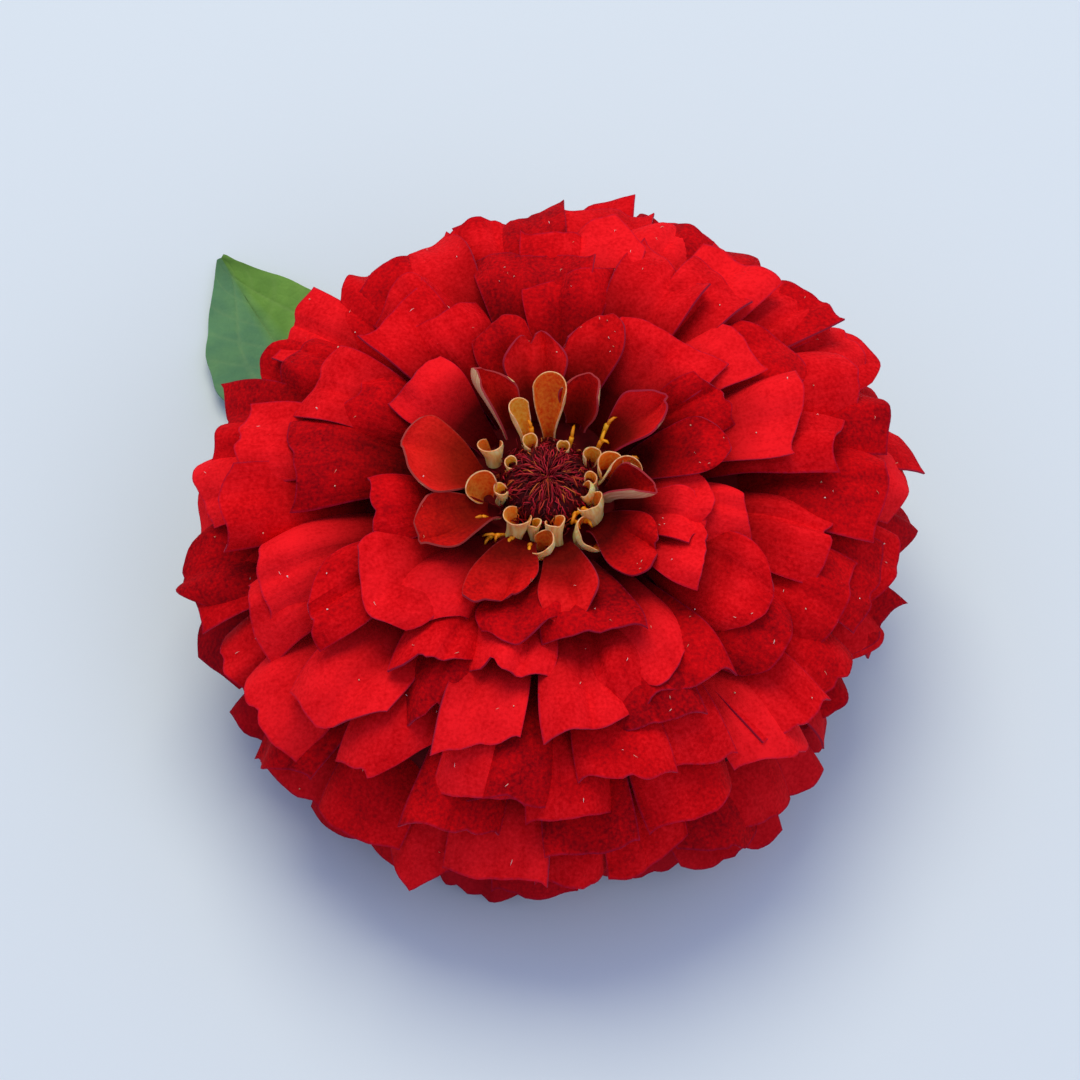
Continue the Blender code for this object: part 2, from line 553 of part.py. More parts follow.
def make_leaf(finish):
    """A pointed oval leaf folded a little along its midrib, with raised main veins below."""
    base, tip = np.array(LEAF_BASE), np.array(LEAF_TIP)
    chord = tip - base
    pulls = (base + chord * 0.33 + (0.0, -0.0006, -0.0012), base + chord * 0.70 + (0, 0, -0.0034))
    rows = 10
    middle = bezier((base, *pulls, tip), rows + 1)
    forward = chord[:2] / np.linalg.norm(chord[:2])
    side = np.array([forward[1], -forward[0]])
    columns = np.array([-1, -0.72, -0.40, -0.07, 0.07, 0.40, 0.72, 1])
    count = len(columns)
    upper, lower = [], []
    for i, point in enumerate(middle):
        s = i / rows
        half = LEAF_HALF_WIDTH * keyed(
            s, (0, 0.16), (0.1, 0.55), (0.2, 0.82), (0.35, 0.99), (0.45, 1.0), (0.6, 0.86), (0.8, 0.47),
            (1, 0.03),
        )
        for u in columns:
            lift = 0.26 * half * abs(u) - 0.10 * half * u * u + 0.0005 * u * math.sin(9 * s) * abs(u)
            spot = np.array([*(point[:2] + side * half * u), point[2] + lift])
            rib = 0.0006 * (1 - 0.6 * s) if abs(u) < 0.1 else (0.0003 if abs(u) in (0.4,) else 0)
            upper.append(spot)
            lower.append(spot - (0, 0, LEAF_THICKNESS + rib))
    faces = []
    shift = len(upper)
    for i in range(rows):
        for j in range(count - 1):
            a = i * count + j
            b, c, d = a + 1, a + count + 1, a + count
            for face in ((a, c, b), (a, d, c)):
                faces.append(face[::-1])
                faces.append(tuple(v + shift for v in face))
    outline = [i * count for i in range(rows + 1)] + [rows * count + j for j in range(1, count)]
    outline += [i * count + count - 1 for i in range(rows - 1, -1, -1)] + list(range(count - 2, 0, -1))
    for a, b in zip(outline, outline[1:] + outline[:1]):
        faces += [(a, b, b + shift), (a, b + shift, a + shift)]
    leaf = new_object("leaf", upper + lower, faces, finish)
    mesh = bmesh.new()
    mesh.from_mesh(leaf.data)
    bmesh.ops.recalc_face_normals(mesh, faces=mesh.faces)
    mesh.to_mesh(leaf.data)
    mesh.free()
    lowest = min(v.co.z for v in leaf.data.vertices)
    for vertex in leaf.data.vertices:
        vertex.co.z -= lowest
    leaf.data.shade_smooth()
    leaf.data.set_sharp_from_angle(angle=math.radians(50))
    return leaf


clear_scene()
red = material("petal_red", (0.48, 0.006, 0.010), 0.6)
make_ray_florets(red)
make_young_rays(material("young_ray_orange", (0.60, 0.16, 0.035), 0.6))
make_disc(material("chaff_maroon", (0.10, 0.006, 0.005), 0.75))
green = material("bract_green", (0.12, 0.22, 0.06), 0.6)
make_involucre(green)
make_stem(material("stem_green", (0.16, 0.27, 0.07), 0.55))
make_leaf(material("leaf_green", (0.10, 0.24, 0.055), 0.6))
for piece in bpy.context.scene.collection.objects:
    piece.location = HEAD_PLACE
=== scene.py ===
import random
from functools import partial
from math import atan2, copysign, cos, pi, radians, sin, sqrt, tan, tau

import bpy
import numpy as np
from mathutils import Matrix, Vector


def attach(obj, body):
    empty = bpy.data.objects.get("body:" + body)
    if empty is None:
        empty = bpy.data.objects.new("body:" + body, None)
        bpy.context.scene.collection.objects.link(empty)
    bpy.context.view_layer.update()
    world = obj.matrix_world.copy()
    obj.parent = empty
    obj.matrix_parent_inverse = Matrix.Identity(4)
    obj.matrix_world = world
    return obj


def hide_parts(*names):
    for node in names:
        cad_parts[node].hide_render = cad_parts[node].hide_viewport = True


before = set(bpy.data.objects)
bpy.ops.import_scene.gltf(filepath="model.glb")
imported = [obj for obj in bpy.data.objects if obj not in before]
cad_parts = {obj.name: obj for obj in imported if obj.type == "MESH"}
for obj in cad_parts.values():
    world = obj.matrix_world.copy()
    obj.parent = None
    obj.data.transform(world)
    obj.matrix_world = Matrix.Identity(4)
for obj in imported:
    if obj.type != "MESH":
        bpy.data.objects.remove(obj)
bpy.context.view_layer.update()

# ---- receptacle ----
# The fleshy crown of the stem that all the petals grow from: firm plant tissue, coloured a dull
# dark red as painted shade where it shows in the gaps between the petals. It is a turned form just
# under them.

HEAD_PLACE = np.array([0.0001, -0.0061, 0.0])
HEAD_LIFT = 0.0220
HEAD_TILT = radians(7)
HEAD_RADIUS = 0.0475
CROWN_HEIGHT = 0.027
SKIRT_DEPTH = 0.028
DOME_POWER = 2.35
CLEAR_OF_TABLE = 0.0006
STEM_ROOM = 0.0072  # how much higher the back petals stay, where the stem lies under them
SOFT_LANDING = 0.002
PETAL_BED_DEPTH = 0.0085


def deselect():
    bpy.ops.object.select_all(action="DESELECT")


def keyed(x, *pairs):
    """Straight lines between (x, value) pairs, level past both ends."""
    return np.interp(x, *zip(*pairs))


def smooth(x):
    x = np.clip(x, 0, 1)
    return x * x * (3 - 2 * x)


def unit(vectors):
    """Vectors at a length of one."""
    return vectors / np.linalg.norm(vectors, axis=-1, keepdims=True)


def dome(angle, inset=0.0):
    """Radius and height on the head's dome at a polar angle, or at a depth below it."""

    def surface(a):
        height = CROWN_HEIGHT if cos(a) > 0 else SKIRT_DEPTH
        share = 2 / DOME_POWER
        radius = HEAD_RADIUS * abs(sin(a)) ** share
        return np.array([radius, copysign(height * abs(cos(a)) ** share, cos(a))])

    along = unit(surface(angle + 0.01) - surface(angle - 0.01))
    return surface(angle) - np.array([-along[1], along[0]]) * inset


def to_place(points):
    """From the head's own frame to where it lies: tipped over, lifted, kept off the surface."""
    points = np.asarray(points, float)
    x, y, z = points[..., 0], points[..., 1], points[..., 2]
    world_y = y * cos(HEAD_TILT) - z * sin(HEAD_TILT)
    world_z = y * sin(HEAD_TILT) + z * cos(HEAD_TILT) + HEAD_LIFT
    floor = CLEAR_OF_TABLE + STEM_ROOM * smooth((world_y + 0.004) / 0.014)
    over = world_z - floor
    pressed = SOFT_LANDING * np.exp(np.minimum(over / SOFT_LANDING - 1, 0))
    soft = np.where(over < SOFT_LANDING, pressed, over)
    return np.stack([x, world_y, floor + soft], -1) + HEAD_PLACE


def linear(hex_color):
    """An sRGB hex colour as the linear values that a shader takes."""
    parts = [int(hex_color[i : i + 2], 16) / 255 for i in (1, 3, 5)]
    return [c / 12.92 if c <= 0.04045 else ((c + 0.055) / 1.055) ** 2.4 for c in parts] + [1.0]


def add_node(tree, kind, *values, output=None, **named):
    """Adds one node with its settings and links, and gives its first or its named output.

    Values go to its sockets in their order, or by name, and a colour is a hex. Other names
    are its settings: a Mix is of colours and Math multiplies if none are given. What follows
    a colour ramp's factor is its stops.
    """
    node = tree.nodes.new("ShaderNode" + kind)
    usual = {"Mix": {"data_type": "RGBA"}, "Math": {"operation": "MULTIPLY"}}
    for name, value in {**usual.get(kind, {}), **named}.items():
        if name not in node.inputs:
            setattr(node, name, value)
    filled = list(zip([socket for socket in node.inputs if socket.enabled], values))
    filled += [(node.inputs[name], named[name]) for name in named if name in node.inputs]
    for socket, value in filled:
        if isinstance(value, bpy.types.NodeSocket):
            tree.links.new(value, socket)
        else:
            socket.default_value = linear(value) if isinstance(value, str) else value
    for number, (position, color) in enumerate(values[1:] if kind == "ValToRGB" else ()):
        elements = node.color_ramp.elements
        element = elements[number] if number < 2 else elements.new(position)
        element.position = position
        element.color = linear(color)
    return node.outputs[output] if output else next(s for s in node.outputs if s.enabled)


def new_material(name, roughness, specular=0.2, sheen=0.0, sheen_tint="#ffffff", inside=0.0):
    """A Principled material, its constants on the shader's own sockets, and its add_node."""
    made = bpy.data.materials.new(name)
    made.use_nodes = True
    for socket, value in (
        ("Roughness", roughness), ("Specular IOR Level", specular), ("Sheen Weight", sheen),
        ("Sheen Roughness", 0.4), ("Sheen Tint", linear(sheen_tint)),
        ("Subsurface Weight", inside), ("Subsurface Scale", 0.0015),
    ):
        made.node_tree.nodes["Principled BSDF"].inputs[socket].default_value = value
    return made, partial(add_node, made.node_tree)


def coat(material, color, relief=None, strength=0.0, depth=0.0):
    """Gives a material its colour and, where it has one, its relief, a depth in metres."""
    tree = material.node_tree
    skin = tree.nodes["Principled BSDF"].inputs
    tree.links.new(color, skin["Base Color"])
    if relief:
        raised = add_node(tree, "Bump", Strength=strength, Distance=depth, Height=relief)
        tree.links.new(raised, skin["Normal"])


def mottled(name, roughness, specular, scale, *stops, detail=3.0, strength=0.0, depth=0.0):
    """Tissue whose colour wanders between its stops in small spots, raised if it has a depth."""
    made, add = new_material(name, roughness, specular)
    spots = add("TexNoise", add("TexCoord", output="Object"), scale, detail)
    coat(made, add("ValToRGB", spots, *stops), spots if depth else None, strength, depth)
    return made


def finish_piece(piece, node, slot, *materials):
    """Gives a piece its materials and says what it rides on and what it replaces. Its slot is not
    used.
    """
    slots = piece.data.materials
    while len(slots) < len(materials):
        slots.append(None)
    for number, item in enumerate(materials):
        slots[number] = item
    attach(piece, "root")
    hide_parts(node)


def face_outward():
    """Turns the faces of the piece that is being made outward, as a closed shell's are."""
    bpy.ops.object.mode_set(mode="EDIT")
    bpy.ops.mesh.select_all(action="SELECT")
    bpy.ops.mesh.normals_make_consistent(inside=False)
    bpy.ops.object.mode_set(mode="OBJECT")


def turned(name, profile, steps):
    """Spins a profile of (radius, height) points about the head's axis into a closed form."""
    deselect()
    bpy.ops.mesh.primitive_circle_add(vertices=len(profile), radius=0.01)
    piece = bpy.context.object
    piece.name = name
    for vertex, (radius, height) in zip(piece.data.vertices, profile):
        vertex.co = (radius, 0, height)
    bpy.ops.object.mode_set(mode="EDIT")
    bpy.ops.mesh.spin(steps=steps, angle=tau, center=(0, 0, 0), axis=(0, 0, 1))
    bpy.ops.mesh.select_all(action="SELECT")
    bpy.ops.mesh.remove_doubles(threshold=1e-6)
    bpy.ops.mesh.dissolve_degenerate(threshold=1e-6)
    face_outward()
    piece.data.shade_smooth()
    return piece


def reshape(piece, change):
    """Moves every point of a piece by a function of the array of its points."""
    mesh = piece.data
    points = np.empty(len(mesh.vertices) * 3, np.float32)
    mesh.vertices.foreach_get("co", points)
    points = np.asarray(change(points.reshape(-1, 3).astype(float)), np.float32)
    mesh.vertices.foreach_set("co", points.ravel())
    mesh.update()


profile = [(0, 0.0172), (0.0074, 0.0172), (0.0090, 0.0180)]
profile += [dome(radians(a), PETAL_BED_DEPTH) for a in range(34, 113, 9)]
profile += [(0.0290, -0.0030), (0.0200, -0.0035), (0.0110, -0.0072), (0, -0.0072)]
receptacle = turned("receptacle", profile, 48)
reshape(receptacle, to_place)
# Fleshy tissue: dull, and dark red as painted shade, so that it only closes the gaps between the
# petals
tissue = mottled("receptacle in painted gap shade", 0.8, 0.1, 600.0, (0.3, "#4c0408"), (0.7, "#70080e"))
finish_piece(receptacle, "ray_florets", "petal_red", tissue)

# ---- ray florets ----
# Some 170 broad petals laid like shingles: thin velvety blades, cupped and upright near the
# disc, flat with a square, pointed or notched end further out, drooping at the rim.

RAYS = (  # azimuth, polar angle of the tip, width in mm, slant of the end, end if not square
    (62.3, 11.8, 5.2, -14, "r"), (340.5, 15.6, 5.5, -19, "r"), (127.3, 16.8, 5.6, 23, "r"),
    (27.2, 16.8, 5.5, -3, "r"), (95.9, 18.6, 6.6, 2, "n"), (178.2, 19.3, 9.2, -2, "r"),
    (315.1, 20.9, 7, -20, "n"), (213.5, 21, 7.1, 10, "r"), (251.5, 22.2, 7.3, -32, "n"),
    (71.2, 22.4, 7, -29, "r"), (108.3, 23.4, 6.9, -11), (278.7, 24.3, 7.1, -14, "r"),
    (5.3, 24.5, 7.7, -4, "r"), (145.3, 24.7, 8.7, 3), (346.3, 24.6, 7.6, -14, "r"),
    (336, 24.8, 6.6, -11), (46.2, 25.9, 14, -12), (22.6, 25.3, 7, -10),
    (262.3, 27.3, 11.4, -12, "r"), (197, 26.5, 7.4, 8), (233.6, 28.6, 8, -28, "p"),
    (324.8, 28.6, 9.5, -24, "r"), (120.5, 30.9, 7.6, 4), (283.6, 27.8, 11.9, 8),
    (84.4, 31.3, 9.8, -23), (347.3, 30.8, 8.2, -17, "r"), (260.1, 32.6, 11.4, 0, "n"),
    (155.2, 33.4, 8, 13), (220.3, 34.2, 15.3, 10, "r"), (36.6, 34.6, 11.8, -2),
    (242.4, 34.9, 11, -29, "n"), (89.3, 37.9, 7.9, 8), (132, 38.8, 12, -4), (98, 41, 8, 17),
    (14.3, 38.1, 11.5, 20), (298.4, 38.5, 9.4, -9, "r"), (60.7, 41.9, 12.4, 20),
    (174, 40.6, 14.5, -6), (76.7, 48.8, 8.2, 7, "p"), (287.1, 40.5, 8.5, 16, "r"),
    (325.9, 42.5, 14, 2, "r"), (31.7, 43.4, 10.9, -23), (212.5, 44.3, 8.5, 34, "n"),
    (123.9, 44.6, 11.1, -5), (86.7, 45.1, 8.3, 1), (155.1, 44.5, 8.3, 11), (51.3, 46.8, 10.2, 12),
    (244.1, 44.4, 8.3, -22, "n"), (301.8, 42.9, 9, 5), (292.5, 47, 10.5, 8),
    (278.7, 44.1, 10.1, -11), (10.2, 47.6, 8.8, 23), (348.8, 50.5, 14.5, -2, "n"),
    (67.8, 60, 9.5, -9, "p"), (102.9, 61, 8.5, 6), (256.4, 48.4, 8.6, -23),
    (322, 52.1, 14.8, -4, "r"), (115.1, 59.6, 8.6, -31), (131.2, 63, 8.6, -26),
    (93.7, 60.2, 8.7, -36), (228.2, 56.4, 14.5, -20, "p"), (170.2, 56.6, 9.8, -7),
    (51, 55.5, 10, -10), (198.1, 53.2, 12.3, 5), (124.2, 56.6, 8.7, -5), (23.7, 57.7, 9.4, 2),
    (79, 65, 8.7, -23), (41, 65, 9.8, -15), (239.9, 60.1, 11.6, -33, "p"), (284.1, 56.3, 11.6, 6),
    (149.3, 59.5, 8.9, 1), (183, 59.4, 8.9, 5), (67.4, 68.3, 11.6, 16), (296.1, 58.5, 9.4, 11),
    (17, 65.3, 9, 2), (265.6, 59.8, 12.3, -1), (53.6, 70.9, 11.3, 4, "p"), (39.9, 66.8, 10.6, 0),
    (258.6, 59.7, 9.6, -8), (2.5, 62.5, 16.3, 7), (203.8, 61.9, 10.8, 13), (141, 71, 11.2, -10),
    (167.8, 73, 9.1, -4), (338.3, 64.2, 12.7, -2), (30.7, 73.7, 11, 7), (274.8, 64.3, 13.2, 2),
    (162.3, 74.3, 11.3, -33), (310.7, 73.5, 9.2, 23), (7.9, 79, 10.3, -1), (175.8, 74.8, 9.5, -26),
    (345.7, 73.8, 13, 5), (316.6, 70.4, 9.8, 7), (295.1, 72.4, 14.3, -5), (255.4, 70.7, 12.9, -7),
    (96, 70, 14.6, 7, "f"), (217.8, 77, 12.6, 7), (148, 73, 14.6, 9, "r"), (327.7, 76.6, 9.4, 12),
    (63, 74, 14.7, 4, "f"), (351.5, 80.6, 9.4, 12), (277.1, 75.9, 11.7, -4),
    (116, 77, 14.8, -6, "f"), (189.3, 85.7, 14.1, -8), (31, 78, 14.9, -9, "r"),
    (168, 79, 14.9, -1, "f"), (205.1, 85.5, 10.1, -1), (249.7, 92, 9.6, -4, "p"),
    (83, 80, 15, -9, "f"), (223.1, 87.4, 9.6, -28), (239, 88.2, 11.9, -5), (136, 83, 15, -2, "f"),
    (298.7, 92.4, 9.6, 17), (262.1, 86.2, 13.1, -3), (344, 90.4, 10.7, 22),
    (286.5, 87.2, 10.7, -14), (51, 84, 15.1, -6), (188, 85, 15.1, 6, "r"), (306.9, 94.5, 11.2, 17),
    (103, 86, 15.2, -2, "r"), (274.1, 87.6, 10.3, 6), (18, 88, 15.2, 3, "f"),
    (156, 88, 15.3, -9, "f"), (71, 90, 15.3, 5), (208, 90, 15.3, -1, "f"),
    (346, 91, 15.3, -8, "r"), (123, 91, 15.3, -6, "r"), (38, 92, 15.3, 6), (176, 93, 15.3, 1, "f"),
    (91, 94, 15.3, 0), (314.5, 99.9, 9.9, 13), (228, 95, 15.3, -8, "f"), (6, 96, 15.3, 1, "p"),
    (143, 96, 15.3, 2), (58, 98, 15.3, -5, "p"), (196, 99, 15.3, -2, "p"),
    (333, 99, 15.3, -5, "f"), (111, 100, 15.3, -6, "r"), (248, 101, 15.3, -3, "f"),
    (26, 102, 15.3, 3, "r"), (163, 103, 15.3, -8, "r"), (301, 103, 15.3, 2, "n"),
    (78, 104, 15.3, 8, "p"), (216, 105, 15.3, 2, "f"), (353, 106, 15.3, -7, "p"),
    (131, 107, 15.3, 8), (268, 106, 11, 6, "f"), (46, 109, 15.3, 7), (184, 109, 15.3, 7, "f"),
    (321, 110, 15.3, 1, "n"), (99, 111, 15.3, 4, "p"), (236, 112, 15.3, -8, "f"),
    (14, 113, 15.3, -5, "p"), (151, 114, 15.3, 7, "n"), (289, 115, 15.3, -7, "f"),
    (66, 116, 15.3, -8, "n"), (204, 116, 15.3, 2, "r"), (341, 117, 15.3, -2), (119, 118, 15.3, 3),
    (256, 119, 15.3, 8, "n"), (34, 120, 15.3, 6), (171, 121, 15.3, 5), (309, 122, 15.3, 0),
    (86, 123, 15.3, 8, "p"), (224, 124, 15.3, -6, "p"), (1, 125, 15.3, 8),
    (139, 125, 15.3, -6, "p"), (276, 126, 15.3, 0), (331, 97, 10.5, 4, "f"),
    (322, 106, 10.5, -6, "f"), (93, 104, 10.5, 5, "f"), (84, 113, 10.5, -5, "f"),
    (101, 114, 10.5, 6, "f"),
)
# Square, filling (square and a little short), pointed, round and notched ends: how far the
# middle reaches, how far it drops to the corners, how suddenly, and how much the end narrows
ENDS = {
    "s": (1.0, 0.05, 2.6, 0.0), "f": (1.0, 0.05, 2.6, 0.0), "p": (1.06, 0.14, 1.15, 0.05),
    "r": (1.02, 0.13, 2.6, 0.24), "n": (1.02, 0.08, 2.6, 0.12),
}
YOUTH = (0.25, 0.22, 0.25, 0.1, 0.1, 0.32, 0.05, 0.3, 0.15, 0.05, 0.05, 0.1)
CUPPED = {0: 0.6, 1: 1.3, 2: 1.2, 3: 0.6, 4: 0.3, 5: 0.1, 7: 0.7}
SPREAD = (  # how far the head reaches toward each azimuth, as a share of the dome
    (0, 1), (14, 1.05), (50, 1.03), (90, 0.995), (120, 0.95), (150, 0.93), (175, 0.995),
    (205, 0.965), (230, 1.02), (270, 1.01), (300, 1), (335, 0.925), (350, 0.955), (360, 1),
)
MM = 0.001
RIPE_FROM = 17  # the polar angle where petals begin to lose their cup, over so many degrees
RIPENS_OVER = 12
PETAL_COLUMNS = 18
PETAL_ROWS = 24
PETAL_THICKNESS = 0.00025
POINTS_OF_LINE = 80


def bezier(points, s):
    a, b, c, d = (np.asarray(point, float) for point in points)
    s = np.asarray(s)[:, None]
    return (1 - s) ** 3 * a + 3 * (1 - s) ** 2 * s * b + 3 * (1 - s) * s**2 * c + s**3 * d


def middle_line(degrees, age, azimuth, arrive_change, stretch):
    """A petal's middle line from root to tip, in the plane of radius and height."""
    root = np.array([keyed(age, (0, 0.0084), (1, 0.0105)), keyed(age, (0, 0.0196), (1, -0.0055))])
    reach = keyed(azimuth % 360, *SPREAD) * stretch
    tip = dome(radians(degrees)) * (reach, 1 + 0.3 * (reach - 1))
    leave = radians(keyed(age, (0, 66), (0.1, 58), (0.5, 32), (0.8, 5), (1, -25)))
    arrivals = (13, 60), (20, 30), (30, 12), (45, -8), (65, -24), (90, -42), (128, -74)
    arrive = radians(keyed(degrees, *arrivals) + arrive_change)
    span = np.linalg.norm(tip - root)
    heading = np.array([cos(arrive), sin(arrive)])
    first_pull = root + 0.42 * span * np.array([cos(leave), sin(leave)])
    steps = np.linspace(0, 1, POINTS_OF_LINE)
    curve = bezier((root, first_pull, tip - 0.36 * span * heading, tip), steps)
    past = np.linspace(0.01, 0.25, 12)[:, None] * span
    return np.concatenate([curve, curve[-1] + past * heading])


def petal_points(number, ray, u, v):
    """Where a petal's points lie: u runs across it from -1 to 1, v up it from 0 to 1."""
    draw = random.Random(20000 + number)
    habit = random.Random(500 + number)
    between = habit.uniform

    def phase():
        return between(0, 6.28)

    azimuth, degrees, width_mm, slant, end = (*ray, "s")[:5]
    ripe = min(max((degrees - RIPE_FROM) / RIPENS_OVER, 0), 1)
    turn = radians(azimuth)
    stretch = 0.945 if end == "f" else 0.975
    age = number / (len(RAYS) - 1)
    curve = middle_line(degrees, age, azimuth, draw.uniform(-8, 8) + 3, stretch)
    lean = radians(draw.uniform(-11, 11))
    arc = np.concatenate([[0], np.cumsum(np.linalg.norm(np.diff(curve, axis=0), axis=1))])
    length = arc[POINTS_OF_LINE - 1]
    slopes = np.unwrap(np.arctan2(*np.gradient(curve, axis=0).T[::-1]))

    # the outline: how far the end reaches at each place across
    half_width = max(width_mm, between(9.8, 11.8) * ripe) / 2000 * (1.34 - 0.32 * ripe)
    middle, drop, power, narrowing = ENDS[end]
    middle, drop = 1 + (middle - 1) * ripe, 0.24 + (drop - 0.24) * ripe
    skew = tan(radians(slant)) * half_width / length
    power = power * ripe + 3.2 * (1 - ripe)
    outline = middle - drop * np.abs(u) ** power + skew * u
    wave = between(0.1, 0.55) * MM * ripe
    outline += wave / length * np.sin(between(2.5, 4.5) * u + phase())
    outline += 0.05 * MM / length * np.sin(13 * u + phase())
    spikes = 1.0 if end in "sf" else 0.35
    for edge in (-1, 1):
        spike = between(0.4, 2.2) * spikes * MM * ripe
        outline += spike / length * np.clip(edge * u, 0, 1) ** 6
    notch = between(0.9, 1.6) if end == "n" else habit.choice((0, 0, 0.4, 0.8)) * ripe
    notch_at = between(-0.45, 0.45)
    outline -= notch * MM / length * np.exp(-(((u - notch_at) / 0.15) ** 2))
    along = v * outline
    near_end = smooth((along - 0.6) / 0.4)
    width = 0.0015 + (half_width - 0.0015) * smooth(along / (0.66 + 0.30 * ripe))
    narrowing = narrowing * ripe + 0.18 * (1 - ripe)
    last = np.clip((v - 0.62) / 0.38, 0, 1)
    width = width * (1 - narrowing * last**3)
    width *= 1 + 0.02 * np.sin(11 * along + phase()) * np.abs(u)

    # the cross section: a bend, rolled sides, a crease, waves, a hooked end and a folded corner
    bend = (0.5 * ripe - 0.75) * (1 - smooth(along)) + (1.1 * ripe - 0.8) * smooth(along)
    bend = bend + between(-0.9, 1.0) * along * ripe - CUPPED.get(number, 0)
    side = width * u * (1 - 0.08 * bend**2)
    rise = -0.5 * width * bend * u**2
    for edge in (-1, 1):
        roll = between(-0.6, 2.6) * MM * ripe
        rise -= roll * np.clip(edge * u, 0, 1) ** 4 * smooth(along / 0.9)
    crease = between(-0.35, 0.35)
    depth = between(0.0, 0.8) + 0.5 * (end == "n")
    outer_part = smooth((along - 0.3) / 0.4)
    rise -= depth * MM * np.exp(-(((u - crease) / 0.14) ** 2)) * outer_part
    rise += between(0.0, 0.5) * MM * np.exp(-(((u + crease) / 0.2) ** 2)) * near_end
    rise += between(0.1, 0.6) * MM * u**2 * np.sin(6 * along + phase() + 1.5 * u) * along
    rise += between(0.1, 0.6) * MM * np.sin(4.5 * u + phase()) * near_end * ripe
    ripple = between(0.1, 0.4) * MM * ripe * outer_part
    rise += ripple * np.sin(13 * along + between(-2, 2) * u + phase())
    hook = (ripe * 1.5 - 0.5) * between(-0.2, 2.5) * MM
    rise -= hook * np.clip((along - 0.76) / 0.24, 0, 1.3) ** 2
    rise += ripe * 1.6 * MM * smooth((along - 0.35) / 0.5)
    corner = habit.choice((-1, 1)) * u
    fold = between(-1.8, 0.9) * MM * ripe
    rise += fold * np.clip(corner, 0, 1) ** 3 * np.clip((along - 0.5) / 0.5, 0, 1.2) ** 2
    lean = lean + radians(between(-15, 15)) * along
    level, steep = np.cos(lean), np.sin(lean)
    side, rise = side * level - rise * steep, side * steep + rise * level

    spot = along * length
    slope = np.interp(spot, arc, slopes)
    radius = np.interp(spot, arc, curve[:, 0]) - np.sin(slope) * rise
    height = np.interp(spot, arc, curve[:, 1]) + np.cos(slope) * rise
    x = radius * cos(turn) - side * sin(turn)
    y = radius * sin(turn) + side * cos(turn)
    return np.stack([x, y, height], -1)


def grown_blade(name, columns, rows, place, growth):
    """A flat grid bent into a blade: place gives its points, growth what its colour depends on."""
    deselect()
    bpy.ops.mesh.primitive_grid_add(x_subdivisions=columns, y_subdivisions=rows, size=2)
    blade = bpy.context.object
    blade.name = name
    reshape(blade, lambda points: place(-points[:, 0], (points[:, 1] + 1) / 2))
    mesh = blade.data
    values = np.tile(np.array([*growth, 1.0], np.float32), len(mesh.vertices))
    mesh.attributes.new("growth", "FLOAT_COLOR", "POINT").data.foreach_set("color", values)
    return blade


def joined(name, parts, thickness):
    """Joins blades into one piece and gives them thickness: face, back and rim in three slots."""
    deselect()
    for part in parts:
        part.select_set(True)
    bpy.context.view_layer.objects.active = parts[0]
    bpy.ops.object.join()
    piece = bpy.context.object
    piece.name = name
    for _ in range(3):
        piece.data.materials.append(None)
    solid = piece.modifiers.new("thickness", "SOLIDIFY")
    solid.thickness = thickness
    solid.offset = -1
    solid.material_offset = 1
    solid.material_offset_rim = 2
    bpy.ops.object.modifier_apply(modifier="thickness")
    bpy.ops.object.shade_smooth_by_angle(angle=radians(42))
    return piece


def growth_values(add):
    """The numbers that a blade carries, and one by one: its tone, its youth, how low it hangs."""
    growth = add("Attribute", attribute_name="growth")
    return growth, add("SeparateColor", growth).node.outputs


def lengthwise_veins(add, growth, count, stretch):
    """Noise drawn out along a blade, different on each."""
    drawn_out = add("Mapping", add("UVMap", uv_map="UVMap"), Scale=(count, stretch, 1.0))
    own = add("VectorMath", growth, 40.0, operation="SCALE")
    return add("TexNoise", add("VectorMath", drawn_out, own, operation="ADD"), 1.0, 3.0)


def margin_of_blade(add, line):
    """1 on a thin line along the sides and the end of a blade, and the place up the blade."""
    across, up_blade, _ = add("SeparateXYZ", add("UVMap", uv_map="UVMap")).node.outputs
    from_middle = add("Math", across, 2.0, -1.0, operation="MULTIPLY_ADD")
    from_middle = add("Math", from_middle, operation="ABSOLUTE")
    sides = add("Math", from_middle, 1 / line, 1 - 1 / line, operation="MULTIPLY_ADD")
    end = add("Math", up_blade, 3.6 / line, 1 - 3.6 / line, operation="MULTIPLY_ADD")
    near = add("Math", sides, end, operation="MAXIMUM")
    return add("Math", near, 0.0, operation="MAXIMUM"), up_blade


# Velvet skin: short blunt cells scatter the light, so it has no gloss, only a red bloom, with
# faint lengthwise veins and crimson mottling; painted shade darkens each blade toward its base,
# under the petals above it, and darkens the lowest hanging petals; a thin lilac-purple line along
# the margin is partly its own colour and partly painted highlight where light catches its hairs
face, add = new_material("velvety petal skin", 0.85, 0.04, sheen=0.12, sheen_tint="#ff3048")
growth, (tone, youth, low) = growth_values(add)
place = add("TexCoord", output="Object")
margin, up_blade = margin_of_blade(add, 0.035)
patches = add("TexNoise", place, 240.0, 4.0)
grain = add("TexNoise", place, 2300.0, 2.0)
veins = lengthwise_veins(add, growth, 16.0, 2.2)
level = 0.0
for part, share in ((patches, 0.34), (veins, 0.14), (grain, 0.42), (tone, 0.34)):
    level = add("Math", part, share, level, operation="MULTIPLY_ADD")
red = add("ValToRGB", level, (0.35, "#86030d"), (0.58, "#d4070f"), (0.82, "#ff1a22"))
# painted shade: each blade darker toward its base, where the petals above overlap it
shade = add("ValToRGB", up_blade, (0.38, "#585858"), (0.85, "#ffffff"))
red = add("Mix", 1.0, red, shade, blend_type="MULTIPLY")
orange = add("ValToRGB", level, (0.35, "#a81009"), (0.85, "#ea3414"))
red = add("Mix", youth, red, orange)
# painted shade: the lowest hanging petals darkened toward deep crimson
low_petal_shade = add("Math", low, 0.62)
red = add("Mix", low_petal_shade, red, "#6e0816")
